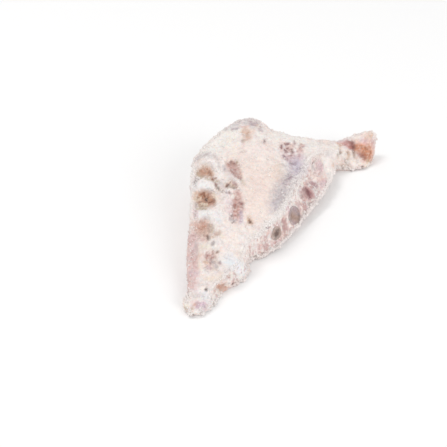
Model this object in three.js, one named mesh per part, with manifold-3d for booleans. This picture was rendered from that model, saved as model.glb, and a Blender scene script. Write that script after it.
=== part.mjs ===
// Slab of salted pork ribs: a thick piece of rib meat, inner side up, with a row of
// split back bones along its left edge and four rib bones that run through the meat
// to a sawn edge on the right. Millimetres, +Z up, the slab lies on z = 0.
import * as THREE from 'three';
import { mergeVertices } from 'three/addons/utils/BufferGeometryUtils.js';
import Module from 'manifold-3d';

// ---------------------------------------------------------------- driving sizes
const GAP = 0.35;              // clearance of a bone in its channel
const AROUND = { left: 11, top: 17, sawn: 6, under: 3, ground: 7 };  // points round a cross-section
const ALONG_STEPS = 54;        // cross-sections from the near tip to the tail tip
const TIP_Z = 4.5;             // height of the near tip
const TAIL_Z = 22;             // height of the tail tip
const WALL = { tuck: 15, shoulder: 5.5, waist: 3.2, waistAt: 0.44, waistWide: 0.09 };
const RIDGE = { high: 2.2, wide: 9 };      // swelling of the surface over a rib
const LUMPS = { high: 0.8, long: 37 };       // uneven swelling of the meat

// Plan corners of the slab, matched in pairs from the near tip (first) to the tail
// tip (last): left/back edge x, y, then right/front edge x, y, then the height of the
// right edge's lower rim, the inset of its upper rim, and how flat it is sawn (0..1).
const SECTIONS = [
  [-42, 19,   -42, 19,   4,  4, 0],   // near tip
  [-48, 32,   -22, 29,   2,  7, 0],
  [-44, 56,    -9, 57,   1,  8, 0],
  [-46, 84,     7, 74,   1,  7, 0],
  [-45, 108,   14, 88,   1,  5, 0],   // notch before the sawn edge
  [-44, 132,   19, 106,  2,  4, 0.4],
  [-44, 156,   34, 118,  3,  6, 0.9],
  [-44, 180,   51, 135,  6,  8, 1],
  [-44, 204,   69, 162,  9, 13, 1],
  [-41, 232,   83, 186, 12, 19, 1],
  [-24, 258,  103, 222, 16, 25, 1],
  [-4, 283,   114, 251, 19, 22, 0.9], // right-hand corner, lifted off the ground
  [22, 301,   119, 266, 17, 13, 0.5], // highest corner at the back
  [46, 300,   121, 279, 12,  8, 0.2],
  [73, 299,   130, 290,  5,  6, 0],   // root of the tail
  [98, 301,   145, 292,  3,  8, 0],
  [122, 312,  160, 297,  3,  8, 0],
  [147, 328,  172, 312,  5,  6, 0],
  [176, 335,  176, 335, 22,  5, 0],   // tail tip
];

// Heights of the upper surface at its landmarks: x, y, z.
const LANDMARKS = [
  [-38, 27, 9], [-42, 56, 15], [-22, 49, 17], [-12, 60, 12], [-42, 84, 25],
  [-10, 73, 26], [8, 83, 19], [-42, 117, 35], [8, 97, 33], [20, 113, 25],
  [20, 128, 44], [41, 139, 36], [-42, 153, 45], [28, 162, 51], [57, 167, 40],
  [-42, 197, 52], [27, 202, 58], [70, 196, 43], [66, 225, 43], [82, 236, 44],
  [-38, 226, 56], [-26, 248, 61], [-9, 270, 66], [27, 242, 65], [14, 286, 68.5],
  [26, 288, 68], [40, 290, 55], [66, 290, 48], [90, 290, 41], [95, 262, 41],
  [108, 272, 36], [115, 298, 33], [138, 312, 29], [166, 330, 36], [134, 296, 16],
  [156, 302, 13],
];

// Split back bones, seated in the left edge: centre x, y, half sizes, turn.
const CHINE = [
  { name: 'chine_bone_1', x: -31, y: 197, rx: 9.5, ry: 11.5, turn: 0.15 },
  { name: 'chine_bone_2', x: -30, y: 150, rx: 11, ry: 12.5, turn: -0.1 },
  { name: 'chine_bone_3', x: -30.5, y: 109, rx: 10.5, ry: 12.5, turn: 0.2 },
  { name: 'chine_bone_4', x: -22, y: 74, rx: 9, ry: 10.5, turn: 0.4 },
];
const CHINE_DEPTH = 15, CHINE_SUNK = 1.6, CHINE_SIDES = 18, CHINE_RINGS = 2;

// Rib bones: joint end, sawn end, half width and half height of the oval section.
const RIBS = [
  { name: 'rib_bone_1', from: [4, 134, 26], to: [42, 130, 18], wide: 4.6, high: 6.4 },
  { name: 'rib_bone_2', from: [3, 148, 31], to: [62, 161, 21], wide: 5.8, high: 8.8 },
  { name: 'rib_bone_3', from: [-2, 183, 35], to: [80, 198, 26], wide: 5.8, high: 7.2 },
  { name: 'rib_bone_4', from: [2, 212, 40], to: [94, 242, 33], wide: 6.8, high: 6.6 },
];
const RIB_ARCH = 2;            // how far a rib bows upward between its ends
const RIB_PAST = 14;           // length drawn past the sawn edge before it is cut
const RIB_SIDES = 14, RIB_STEPS = 5;

// White swellings (+) and hollows (-) of the upper surface: x, y, height, radius x, y.
const BUMPS = [
  [-29, 220, 3.0, 14, 8], [-30, 174, 3.6, 13, 9], [-24, 127, 3.6, 15, 8],
  [-20, 91, 2.6, 14, 7], [14, 118, -2.0, 6, 6], [3, 146, -2.4, 6, 12],
  [-8, 178, -3.0, 13, 5], [-1, 209, -2.0, 10, 9], [64, 226, -1.6, 12, 16],
  [48, 178, -1.6, 9, 16], [64, 254, -1.4, 10, 8], [13, 258, -1.6, 8, 8],
  [27, 292, 2.2, 8, 9], [43, 288, -2.0, 8, 9], [120, 288, 1.8, 8, 6],
  [150, 316, -2.0, 5, 9],
];

// ---------------------------------------------------------------- helpers
const wasm = await Module();
wasm.setup();
const clamp = (t, a, b) => Math.min(b, Math.max(a, t));
const smooth = (t) => { const q = clamp(t, 0, 1); return q * q * (3 - 2 * q); };

// Catmull-Rom value of column c of the section table at station w.
function column(w, c) {
  const n = SECTIONS.length - 1, i = clamp(Math.floor(w), 0, n - 1), t = w - i;
  const at = (k) => SECTIONS[clamp(k, 0, n)][c];
  const [a, b, d, e] = [at(i - 1), at(i), at(i + 1), at(i + 2)];
  return b + 0.5 * t * (d - a + t * (2 * a - 5 * b + 4 * d - e + t * (3 * (b - d) + e - a)));
}

// A thin sheet bent through the landmark heights.
function bentSheet(points) {
  const n = points.length, size = n + 3;
  const kernel = (r2) => (r2 > 0 ? 0.5 * r2 * Math.log(r2) : 0);
  const m = Array.from({ length: size }, () => new Array(size + 1).fill(0));
  points.forEach(([x, y, z], i) => {
    points.forEach(([u, v], j) => {
      m[i][j] = kernel(((x - u) ** 2 + (y - v) ** 2) / 1e4) + (i === j ? 2e-3 : 0);
    });
    const row = [1, x / 100, y / 100];
    row.forEach((value, k) => { m[i][n + k] = value; m[n + k][i] = value; });
    m[i][size] = z;
  });
  for (let c = 0; c < size; c++) {
    let p = c;
    for (let r = c + 1; r < size; r++) if (Math.abs(m[r][c]) > Math.abs(m[p][c])) p = r;
    [m[c], m[p]] = [m[p], m[c]];
    for (let r = 0; r < size; r++) {
      if (r === c) continue;
      const f = m[r][c] / m[c][c];
      for (let k = c; k <= size; k++) m[r][k] -= f * m[c][k];
    }
  }
  const weight = m.map((row, i) => row[size] / row[i]);
  return (x, y) => {
    let z = weight[n] + weight[n + 1] * x / 100 + weight[n + 2] * y / 100;
    for (let i = 0; i < n; i++) {
      z += weight[i] * kernel(((x - points[i][0]) ** 2 + (y - points[i][1]) ** 2) / 1e4);
    }
    return z;
  };
}
const sheet = bentSheet(LANDMARKS);

// Distance from (x, y) to a rib's line in plan, and how far along it lies.
function nearRib(rib, x, y) {
  const dx = rib.to[0] - rib.from[0], dy = rib.to[1] - rib.from[1];
  const t = clamp(((x - rib.from[0]) * dx + (y - rib.from[1]) * dy) / (dx * dx + dy * dy), 0, 1.3);
  return [Math.hypot(x - rib.from[0] - t * dx, y - rib.from[1] - t * dy), t];
}

// Height of the upper surface.
function topAt(x, y) {
  let z = sheet(x, y);
  for (const rib of RIBS) {
    const [d, t] = nearRib(rib, x, y);
    z += RIDGE.high * smooth((t - 0.3) / 0.5) * Math.exp(-((d / RIDGE.wide) ** 2));
  }
  for (const [bx, by, high, rx, ry] of BUMPS) {
    z += high * Math.exp(-(((x - bx) / rx) ** 2) - ((y - by) / ry) ** 2);
  }
  const k = 2 * Math.PI / LUMPS.long;
  z += LUMPS.high * Math.sin(k * x + 1.3 * Math.sin(k * y * 0.7)) * Math.sin(k * y * 0.9 + 0.8);
  return Math.max(z, 4);
}

// ---------------------------------------------------------------- the slab
// Point of the slab's skin: w is the station from tip to tail, u runs once round it.
const ROUND_STEPS = Object.values(AROUND).reduce((sum, count) => sum + count, 0);
const LEFT = AROUND.left / ROUND_STEPS, TOP = LEFT + AROUND.top / ROUND_STEPS;
const SAWN = TOP + AROUND.sawn / ROUND_STEPS, UNDER = SAWN + AROUND.under / ROUND_STEPS;
function skin(w, u) {
  const n = SECTIONS.length - 1;
  const [lx, ly, rx, ry, low, rim, flat] = [0, 1, 2, 3, 4, 5, 6].map((c) => column(w, c));
  const wide = Math.max(Math.hypot(rx - lx, ry - ly), 1e-6);
  const ex = (rx - lx) / wide, ey = (ry - ly) / wide;
  const tuck = Math.min(WALL.tuck, 0.28 * wide), shoulder = Math.min(WALL.shoulder, 0.22 * wide);
  const rimIn = Math.min(rim, 0.3 * wide), under = Math.min(7 + 1.1 * low, 0.3 * wide);
  const topPoint = (a) => topAt(lx + a * ex, ly + a * ey);
  let a, z;
  if (u <= LEFT) {                       // left or back wall, from the ground up
    const t = u / LEFT, high = topPoint(shoulder);
    const foot = clamp(1 - t / 0.3, 0, 1), head = clamp((t - 0.62) / 0.38, 0, 1);
    a = tuck * (1 - Math.sqrt(1 - foot * foot * 0.999)) + shoulder * (1 - Math.sqrt(1 - head * head * 0.999))
      + WALL.waist * smooth(high / 40) * Math.exp(-(((t - WALL.waistAt) / WALL.waistWide) ** 2));
    z = high * Math.sin(Math.PI * 0.5 * t) ** 1.15;
  } else if (u <= TOP) {                 // upper surface
    const t = (u - LEFT) / (TOP - LEFT);
    a = shoulder + (wide - rimIn - shoulder) * t;
    z = topPoint(a);
  } else if (u <= SAWN) {                // sawn or rounded right edge
    const t = (u - TOP) / (SAWN - TOP), high = topPoint(wide - rimIn), arc = t * Math.PI / 2;
    const aFlat = t, zFlat = 1 - t, aRound = Math.sin(arc), zRound = Math.cos(arc);
    a = wide - rimIn + rimIn * (flat * aFlat + (1 - flat) * aRound);
    z = low + Math.max(high - low, 1) * (flat * zFlat + (1 - flat) * zRound);
  } else if (u <= UNDER) {               // turned in under the right edge
    const t = (u - SAWN) / (UNDER - SAWN), arc = t * Math.PI / 2;
    a = wide - under * (1 - Math.cos(arc));
    z = low * (1 - Math.sin(arc));
  } else {                               // flat underside
    const t = (u - UNDER) / (1 - UNDER);
    a = (wide - under) * (1 - t) + tuck * t;
    z = 0;
  }
  // both ends close in a rounded tip
  const head = clamp(w / 1.1, 0, 1), tail = clamp((n - w) / 1.2, 0, 1);
  const tipZ = w < n / 2 ? TIP_Z : TAIL_Z;
  const close = Math.sqrt(1 - (1 - head) ** 2) * Math.sqrt(1 - (1 - tail) ** 2);
  return [lx + a * ex, ly + a * ey, tipZ + (z - tipZ) * close];
}

function slabGeometry() {
  const g = new THREE.SphereGeometry(1, ROUND_STEPS, ALONG_STEPS), p = g.attributes.position;
  for (let j = 0, i = 0; j <= ALONG_STEPS; j++) {
    const w = (SECTIONS.length - 1) * j / ALONG_STEPS;
    for (let k = 0; k <= ROUND_STEPS; k++, i++) {
      p.setXYZ(i, ...skin(w, (k % ROUND_STEPS) / ROUND_STEPS));
    }
  }
  return g;
}

// ---------------------------------------------------------------- bones
// A rib: an oval drawn along a gently arched line; grow widens it into its channel,
// which is longer at both ends.
function ribGeometry(rib, grow) {
  const a = new THREE.Vector3(...rib.from), b = new THREE.Vector3(...rib.to);
  const dir = b.clone().sub(a).normalize(), long = a.distanceTo(b) + RIB_PAST;
  const side = new THREE.Vector3(dir.y, -dir.x, 0).normalize();
  const up = new THREE.Vector3().crossVectors(side, dir).normalize();
  const g = new THREE.CylinderGeometry(1, 1, 1, RIB_SIDES, RIB_STEPS), p = g.attributes.position;
  for (let i = 0; i < p.count; i++) {
    const t = p.getY(i) + 0.5, ang = Math.atan2(p.getZ(i), p.getX(i));
    const r = Math.hypot(p.getX(i), p.getZ(i));
    const s = long * t + (grow > 0 && t < 0.01 ? -grow : 0) + (grow > 0 && t > 0.99 ? 3 : 0);
    const rise = RIB_ARCH * Math.sin(Math.PI * t) + r * (rib.high + grow) * Math.cos(ang);
    const across = r * (rib.wide + grow) * Math.sin(ang) * (1 + 0.12 * Math.cos(ang));
    const v = a.clone().addScaledVector(dir, s).addScaledVector(up, rise).addScaledVector(side, across);
    p.setXYZ(i, v.x, v.y, v.z);
  }
  return g;
}

// A back bone: a tapered plug with a lobed outline; its top follows the slab's surface.
function chineGeometry(bone, grow, lift) {
  const g = new THREE.CylinderGeometry(1, 1, 1, CHINE_SIDES, CHINE_RINGS), p = g.attributes.position;
  const floor = topAt(bone.x, bone.y) - CHINE_DEPTH - grow;
  for (let i = 0; i < p.count; i++) {
    const t = p.getY(i) + 0.5, ang = Math.atan2(p.getZ(i), p.getX(i));
    const r = Math.hypot(p.getX(i), p.getZ(i));
    const lobe = 1 + 0.06 * Math.cos(3 * ang + bone.turn * 6) + 0.04 * Math.cos(5 * ang + 1);
    const taper = 0.66 + 0.34 * clamp(t * CHINE_RINGS, 0, 1);   // straight above its lowest ring
    const ax = r * (bone.rx * lobe * taper + grow) * Math.cos(ang);
    const ay = r * (bone.ry * lobe * taper + grow) * Math.sin(ang);
    const x = bone.x + ax * Math.cos(bone.turn) - ay * Math.sin(bone.turn);
    const y = bone.y + ax * Math.sin(bone.turn) + ay * Math.cos(bone.turn);
    const face = topAt(x, y) - CHINE_SUNK - 1.2 * (1 - r * r);
    p.setXYZ(i, x, y, lift > 0 && t > 0.99 ? face + lift : floor + (face - floor) * t);
  }
  return g;
}

// ---------------------------------------------------------------- solids
function solid(geometry) {
  const g = geometry.clone();
  g.deleteAttribute('normal');
  g.deleteAttribute('uv');
  const m = mergeVertices(g, 1e-4), p = m.attributes.position.array;
  let index = Array.from(m.index.array), volume = 0;
  const keep = [];
  for (let i = 0; i < index.length; i += 3) {
    const [a, b, c] = [index[i], index[i + 1], index[i + 2]];
    if (a === b || b === c || a === c) continue;
    keep.push(a, b, c);
    const [ax, ay, az, bx, by, bz, cx, cy, cz] = [a, b, c].flatMap((k) => [p[3 * k], p[3 * k + 1], p[3 * k + 2]]);
    volume += ax * (by * cz - bz * cy) + ay * (bz * cx - bx * cz) + az * (bx * cy - by * cx);
  }
  index = keep;
  if (volume < 0) for (let i = 0; i < index.length; i += 3) [index[i], index[i + 1]] = [index[i + 1], index[i]];
  return new wasm.Manifold(new wasm.Mesh({
    numProp: 3, vertProperties: new Float32Array(p), triVerts: new Uint32Array(index),
  }));
}

function toGeometry(manifold) {
  const m = manifold.getMesh(), g = new THREE.BufferGeometry();
  g.setAttribute('position', new THREE.BufferAttribute(new Float32Array(m.vertProperties), 3));
  g.setIndex(new THREE.BufferAttribute(new Uint32Array(m.triVerts), 1));
  g.computeVertexNormals();
  return g;
}

const whole = solid(slabGeometry());
let meat = whole;
const pieces = [];
for (const rib of RIBS) {
  pieces.push([rib.name, solid(ribGeometry(rib, 0)).intersect(whole)]);
  meat = meat.subtract(solid(ribGeometry(rib, GAP)));
}
for (const bone of CHINE) {
  pieces.push([bone.name, solid(chineGeometry(bone, 0, 0))]);
  meat = meat.subtract(solid(chineGeometry(bone, GAP, 14)));
}

// ---------------------------------------------------------------- the object
const group = new THREE.Group();
function add(name, manifold, color, roughness) {
  const mesh = new THREE.Mesh(toGeometry(manifold), new THREE.MeshStandardMaterial({ color, roughness, metalness: 0 }));
  mesh.name = name;
  group.add(mesh);
}
add('meat_slab', meat, 0xe6d3d0, 0.75);
for (const [name, manifold] of pieces) {
  add(name, manifold, name.startsWith('rib') ? 0xa89089 : 0xb58a74, 0.8);
}

// the origin is the middle of the footprint's box, on the ground
const box = new THREE.Box3().setFromObject(group);
group.position.set(-(box.min.x + box.max.x) / 2, -(box.min.y + box.max.y) / 2, -box.min.z);

export default group;
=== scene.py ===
import math

import bmesh
import bpy
import numpy as np
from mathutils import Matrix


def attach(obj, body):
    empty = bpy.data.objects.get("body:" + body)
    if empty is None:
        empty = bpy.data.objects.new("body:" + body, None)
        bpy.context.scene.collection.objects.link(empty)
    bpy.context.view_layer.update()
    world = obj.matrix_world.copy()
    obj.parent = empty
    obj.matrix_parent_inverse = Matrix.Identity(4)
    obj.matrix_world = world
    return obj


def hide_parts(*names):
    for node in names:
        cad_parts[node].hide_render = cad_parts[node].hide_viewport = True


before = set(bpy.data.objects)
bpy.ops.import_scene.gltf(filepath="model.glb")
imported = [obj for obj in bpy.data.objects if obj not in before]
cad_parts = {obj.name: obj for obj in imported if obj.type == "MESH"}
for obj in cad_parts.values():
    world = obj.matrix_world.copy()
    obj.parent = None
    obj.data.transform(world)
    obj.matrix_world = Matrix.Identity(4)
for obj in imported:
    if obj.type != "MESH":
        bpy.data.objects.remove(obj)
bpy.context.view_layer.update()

# ------------------------------------------------------------------ camera
LENS_PX, FRAME_PX = 737.4, 447.0
LOOK_DOWN = 33.273
EYE = np.array([-74.873, -655.570, 430.951])          # millimetres, in the part frame

cam_data = bpy.data.cameras.new("camera")
cam_data.sensor_width = 36.0
cam_data.lens = LENS_PX / FRAME_PX * 36.0
cam_data.clip_start, cam_data.clip_end = 0.05, 20.0
cam = bpy.data.objects.new("camera", cam_data)
bpy.context.scene.collection.objects.link(cam)
cam.location = EYE / 1000
cam.rotation_euler = (math.radians(90 - LOOK_DOWN), 0, 0)
bpy.context.scene.camera = cam

# ------------------------------------------------------------------ sizes of the slab
# The slab's own drawing frame is the part frame moved by SHIFT, in millimetres.
SHIFT = np.array([-64.005, -177.0, 0.0])
TIP_Z, TAIL_Z = 4.5, 22.0
WALL = dict(tuck=15, shoulder=5.5, waist=3.2, at=0.44, wide=0.09)
RIDGE_HIGH, RIDGE_WIDE = 2.2, 9.0
LUMP_HIGH, LUMP_LONG = 0.8, 37.0

# left/back edge x, y; right/front edge x, y; lower rim height; upper rim inset; sawn flat
SECTIONS = np.array([
    [-42, 19, -42, 19, 4, 4, 0],
    [-48, 32, -22, 29, 2, 7, 0],
    [-44, 56, -9, 57, 1, 8, 0],
    [-46, 84, 7, 74, 1, 7, 0],
    [-45, 108, 14, 88, 1, 5, 0],
    [-44, 132, 19, 106, 2, 4, 0.4],
    [-44, 156, 34, 118, 3, 6, 0.9],
    [-44, 180, 51, 135, 6, 8, 1],
    [-44, 204, 69, 162, 9, 13, 1],
    [-41, 232, 83, 186, 12, 19, 1],
    [-24, 258, 103, 222, 16, 25, 1],
    [-4, 283, 114, 251, 19, 22, 0.9],
    [22, 301, 119, 266, 17, 13, 0.5],
    [46, 300, 121, 279, 12, 8, 0.2],
    [73, 299, 130, 290, 5, 6, 0],
    [98, 301, 145, 292, 3, 8, 0],
    [122, 312, 160, 297, 3, 8, 0],
    [147, 328, 172, 312, 5, 6, 0],
    [176, 335, 176, 335, 22, 5, 0],
], float)

# heights of the upper surface at its landmarks
LANDMARKS = np.array([
    [-38, 27, 9], [-42, 56, 15], [-22, 49, 17], [-12, 60, 12], [-42, 84, 25],
    [-10, 73, 26], [8, 83, 19], [-42, 117, 35], [8, 97, 33], [20, 113, 25],
    [20, 128, 44], [41, 139, 36], [-42, 153, 45], [28, 162, 51], [57, 167, 40],
    [-42, 197, 52], [27, 202, 58], [70, 196, 43], [66, 225, 43], [82, 236, 44],
    [-38, 226, 56], [-26, 248, 61], [-9, 270, 66], [27, 242, 65], [14, 286, 68.5],
    [26, 288, 68], [40, 290, 55], [66, 290, 48], [90, 290, 41], [95, 262, 41],
    [108, 272, 36], [115, 298, 33], [138, 312, 29], [166, 330, 36], [134, 296, 16],
    [156, 302, 13],
], float)

RIBS = [
    dict(name="rib_bone_1", a=(4, 134, 26), b=(42, 130, 18), wide=4.6, high=6.4),
    dict(name="rib_bone_2", a=(3, 148, 31), b=(62, 161, 21), wide=5.8, high=8.8),
    dict(name="rib_bone_3", a=(-2, 183, 35), b=(80, 198, 26), wide=5.8, high=7.2),
    dict(name="rib_bone_4", a=(2, 212, 40), b=(94, 242, 33), wide=6.8, high=6.6),
]
RIB_ARCH, RIB_PAST = 2.0, 14.0

CHINE = [
    dict(name="chine_bone_1", x=-31, y=197, rx=9.5, ry=11.5, turn=0.15),
    dict(name="chine_bone_2", x=-30, y=150, rx=11, ry=12.5, turn=-0.1),
    dict(name="chine_bone_3", x=-30.5, y=109, rx=10.5, ry=12.5, turn=0.2),
    dict(name="chine_bone_4", x=-22, y=74, rx=9, ry=10.5, turn=0.4),
]
CHINE_DEPTH = 15.0

# swellings (+) and hollows (-): x, y, height, radius x, radius y
BUMPS = [
    (-29, 220, 3.0, 14, 8), (-30, 174, 3.6, 13, 9), (-24, 127, 3.6, 15, 8),
    (-20, 91, 2.6, 14, 7), (14, 118, -2.0, 6, 6), (3, 146, -2.4, 6, 12),
    (-8, 178, -3.0, 13, 5), (-1, 209, -2.0, 10, 9), (64, 226, -1.6, 12, 16),
    (48, 178, -1.6, 9, 16), (64, 254, -1.4, 10, 8), (13, 258, -1.6, 8, 8),
    (27, 292, 2.2, 8, 9), (43, 288, -2.0, 8, 9), (120, 288, 1.8, 8, 6),
    (150, 316, -2.0, 5, 9),
]


# ------------------------------------------------------------------ noise
def _hash(ix, iy, iz, seed):
    h = (ix.astype(np.uint32) * np.uint32(374761393) + iy.astype(np.uint32) * np.uint32(668265263)
         + iz.astype(np.uint32) * np.uint32(2246822519) + np.uint32((seed * 3266489917) & 0xFFFFFFFF))
    h ^= h >> np.uint32(15)
    h *= np.uint32(2246822519)
    h ^= h >> np.uint32(13)
    h *= np.uint32(3266489917)
    h ^= h >> np.uint32(16)
    return h


def noise(P, size, seed=0):
    """Smooth gradient noise of about -1..1 at points P (n, 3), with features of about `size`."""
    q = P / size + 1000.37
    i = np.floor(q).astype(np.int64)
    f = q - i
    s = f * f * f * (f * (f * 6 - 15) + 10)
    out = np.zeros(len(P))
    for dx in (0, 1):
        for dy in (0, 1):
            for dz in (0, 1):
                h = _hash(i[:, 0] + dx, i[:, 1] + dy, i[:, 2] + dz, seed)
                a = (h & np.uint32(1023)) / 1023.0 * 2 * np.pi
                c = ((h >> np.uint32(10)) & np.uint32(1023)) / 1023.0 * 2 - 1
                r = np.sqrt(1 - c * c)
                g = (np.cos(a) * r * (f[:, 0] - dx) + np.sin(a) * r * (f[:, 1] - dy) + c * (f[:, 2] - dz))
                w = ((s[:, 0] if dx else 1 - s[:, 0]) * (s[:, 1] if dy else 1 - s[:, 1])
                     * (s[:, 2] if dz else 1 - s[:, 2]))
                out += w * g
    return out * 1.6


def fbm(P, size, seed=0, octaves=3, gain=0.5):
    total, amp, norm = np.zeros(len(P)), 1.0, 0.0
    for k in range(octaves):
        total += amp * noise(P, size / 2 ** k, seed + 17 * k)
        norm += amp
        amp *= gain
    return total / norm


def cells(P, size, seed=0):
    """Distance to the nearest and the second nearest of scattered points, in cell sizes, and the nearest's number 0..1."""
    q = P / size + 500.11
    i = np.floor(q).astype(np.int64)
    f = q - i
    n = len(P)
    d1, d2, who = np.full(n, 9.0), np.full(n, 9.0), np.zeros(n)
    for dx in (-1, 0, 1):
        for dy in (-1, 0, 1):
            for dz in (-1, 0, 1):
                h = _hash(i[:, 0] + dx, i[:, 1] + dy, i[:, 2] + dz, seed)
                px = dx + (h & np.uint32(1023)) / 1023.0 - f[:, 0]
                py = dy + ((h >> np.uint32(10)) & np.uint32(1023)) / 1023.0 - f[:, 1]
                pz = dz + ((h >> np.uint32(20)) & np.uint32(1023)) / 1023.0 - f[:, 2]
                d = px * px + py * py + pz * pz
                near = d < d1
                d2 = np.where(near, d1, np.minimum(d2, d))
                who = np.where(near, (h & np.uint32(65535)) / 65535.0, who)
                d1 = np.where(near, d, d1)
    return np.sqrt(d1), np.sqrt(d2), who


def smooth(t):
    q = np.clip(t, 0, 1)
    return q * q * (3 - 2 * q)


# ------------------------------------------------------------------ the slab's form
def column(w, c):
    n = len(SECTIONS) - 1
    i = np.clip(np.floor(w).astype(int), 0, n - 1)
    t = w - i
    a, b, d, e = (SECTIONS[np.clip(i + k, 0, n), c] for k in (-1, 0, 1, 2))
    return b + 0.5 * t * (d - a + t * (2 * a - 5 * b + 4 * d - e + t * (3 * (b - d) + e - a)))


def _kernel(r2):
    return np.where(r2 > 0, 0.5 * r2 * np.log(np.maximum(r2, 1e-12)), 0.0)


def _bend(points):
    n = len(points)
    m, rhs = np.zeros((n + 3, n + 3)), np.zeros(n + 3)
    d = points[:, None, :2] - points[None, :, :2]
    m[:n, :n] = _kernel((d ** 2).sum(-1) / 1e4) + np.eye(n) * 2e-3
    flat = np.column_stack([np.ones(n), points[:, 0] / 100, points[:, 1] / 100])
    m[:n, n:], m[n:, :n] = flat, flat.T
    rhs[:n] = points[:, 2]
    return np.linalg.solve(m, rhs)


SHEET = _bend(LANDMARKS)


def top_at(x, y):
    """Height of the upper surface at x, y."""
    z = SHEET[-3] + SHEET[-2] * x / 100 + SHEET[-1] * y / 100
    for wt, (px, py, _) in zip(SHEET[:-3], LANDMARKS):
        z = z + wt * _kernel(((x - px) ** 2 + (y - py) ** 2) / 1e4)
    for rib in RIBS:
        ax, ay, dx, dy = rib["a"][0], rib["a"][1], rib["b"][0] - rib["a"][0], rib["b"][1] - rib["a"][1]
        t = np.clip(((x - ax) * dx + (y - ay) * dy) / (dx * dx + dy * dy), 0, 1.3)
        d = np.hypot(x - ax - t * dx, y - ay - t * dy)
        z = z + RIDGE_HIGH * smooth((t - 0.3) / 0.5) * np.exp(-((d / RIDGE_WIDE) ** 2))
    for bx, by, high, rx, ry in BUMPS:
        z = z + high * np.exp(-(((x - bx) / rx) ** 2) - ((y - by) / ry) ** 2)
    k = 2 * np.pi / LUMP_LONG
    z = z + LUMP_HIGH * np.sin(k * x + 1.3 * np.sin(k * y * 0.7)) * np.sin(k * y * 0.9 + 0.8)
    return np.maximum(z, 4)


ZONES = dict(left=46, top=150, sawn=44, under=12, ground=28)     # points round a section
ALONG = 350


def skin_grid():
    """Points of the slab's skin, shape (ALONG + 1, around, 3), and each point's zone number."""
    n = len(SECTIONS) - 1
    w = (n * np.arange(ALONG + 1) / ALONG)[:, None]
    lx, ly, rx, ry, low, rim, flat = (column(w, c) for c in range(7))
    wide = np.maximum(np.hypot(rx - lx, ry - ly), 1e-6)
    ex, ey = (rx - lx) / wide, (ry - ly) / wide
    tuck, shoulder = np.minimum(WALL["tuck"], 0.28 * wide), np.minimum(WALL["shoulder"], 0.22 * wide)
    rim_in, under = np.minimum(rim, 0.3 * wide), np.minimum(7 + 1.1 * low, 0.3 * wide)

    def top_point(a):
        return top_at(lx + a * ex, ly + a * ey)

    parts_a, parts_z, zone = [], [], []
    t = np.arange(ZONES["left"])[None, :] / ZONES["left"]
    high = top_point(shoulder)
    foot, head = np.clip(1 - t / 0.3, 0, 1), np.clip((t - 0.62) / 0.38, 0, 1)
    parts_a.append(tuck * (1 - np.sqrt(1 - foot * foot * 0.999)) + shoulder * (1 - np.sqrt(1 - head * head * 0.999))
                   + WALL["waist"] * smooth(high / 40) * np.exp(-(((t - WALL["at"]) / WALL["wide"]) ** 2)))
    parts_z.append(high * np.sin(np.pi * 0.5 * t) ** 1.15)
    t = np.arange(ZONES["top"])[None, :] / ZONES["top"]
    a = shoulder + (wide - rim_in - shoulder) * t
    parts_a.append(a)
    parts_z.append(top_point(a))
    t = np.arange(ZONES["sawn"])[None, :] / ZONES["sawn"]
    high, arc = top_point(wide - rim_in), t * np.pi / 2
    parts_a.append(wide - rim_in + rim_in * (flat * t + (1 - flat) * np.sin(arc)))
    parts_z.append(low + np.maximum(high - low, 1) * (flat * (1 - t) + (1 - flat) * np.cos(arc)))
    t = np.arange(ZONES["under"])[None, :] / ZONES["under"]
    parts_a.append(wide - under * (1 - np.cos(t * np.pi / 2)))
    parts_z.append(low * (1 - np.sin(t * np.pi / 2)))
    t = np.arange(ZONES["ground"])[None, :] / ZONES["ground"]
    parts_a.append((wide - under) * (1 - t) + tuck * t)
    parts_z.append(np.zeros_like(parts_a[-1]))
    for k, count in enumerate(ZONES.values()):
        zone += [k] * count
    a, z = np.concatenate(parts_a, 1), np.concatenate(parts_z, 1)
    head, tail = np.clip(w / 1.1, 0, 1), np.clip((n - w) / 1.2, 0, 1)
    tip_z = np.where(w < n / 2, TIP_Z, TAIL_Z)
    close = np.sqrt(1 - (1 - head) ** 2) * np.sqrt(1 - (1 - tail) ** 2)
    P = np.stack([lx + a * ex, ly + a * ey, tip_z + (z - tip_z) * close], -1)
    return P, np.broadcast_to(np.array(zone), P.shape[:2])


def grid_normals(P):
    du = np.roll(P, -1, 1) - np.roll(P, 1, 1)
    dw = np.gradient(P, axis=0)
    N = np.cross(dw, du)
    N /= np.maximum(np.linalg.norm(N, axis=-1, keepdims=True), 1e-9)
    return N


# ------------------------------------------------------------------ the camera's picture plane
SLOPE = math.radians(LOOK_DOWN)
RIGHT = np.array([1.0, 0.0, 0.0])
AHEAD = np.array([0.0, math.cos(SLOPE), -math.sin(SLOPE)])
UPWARD = np.array([0.0, math.sin(SLOPE), math.cos(SLOPE)])


def project(P):
    """Where points of the drawing frame fall in the 447 by 447 picture."""
    q = P + SHIFT - EYE
    deep = q @ AHEAD
    return np.stack([FRAME_PX / 2 + LENS_PX * (q @ RIGHT) / deep, FRAME_PX / 2 - LENS_PX * (q @ UPWARD) / deep], -1)


def sight(px, py):
    """The line of sight through a point of the picture, in the drawing frame."""
    d = AHEAD + RIGHT * (px - FRAME_PX / 2) / LENS_PX - UPWARD * (py - FRAME_PX / 2) / LENS_PX
    return EYE - SHIFT, d / np.linalg.norm(d)


# ------------------------------------------------------------------ mesh helpers
def grid_faces(rows, cols, closed):
    """Quads of a grid of rows by cols points, with each row a ring where closed."""
    r = np.arange(rows - 1)[:, None] * cols
    c = np.arange(cols if closed else cols - 1)[None, :]
    d = (c + 1) % cols
    return np.stack([r + c, r + d, r + cols + d, r + cols + c], -1).reshape(-1, 4)


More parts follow.
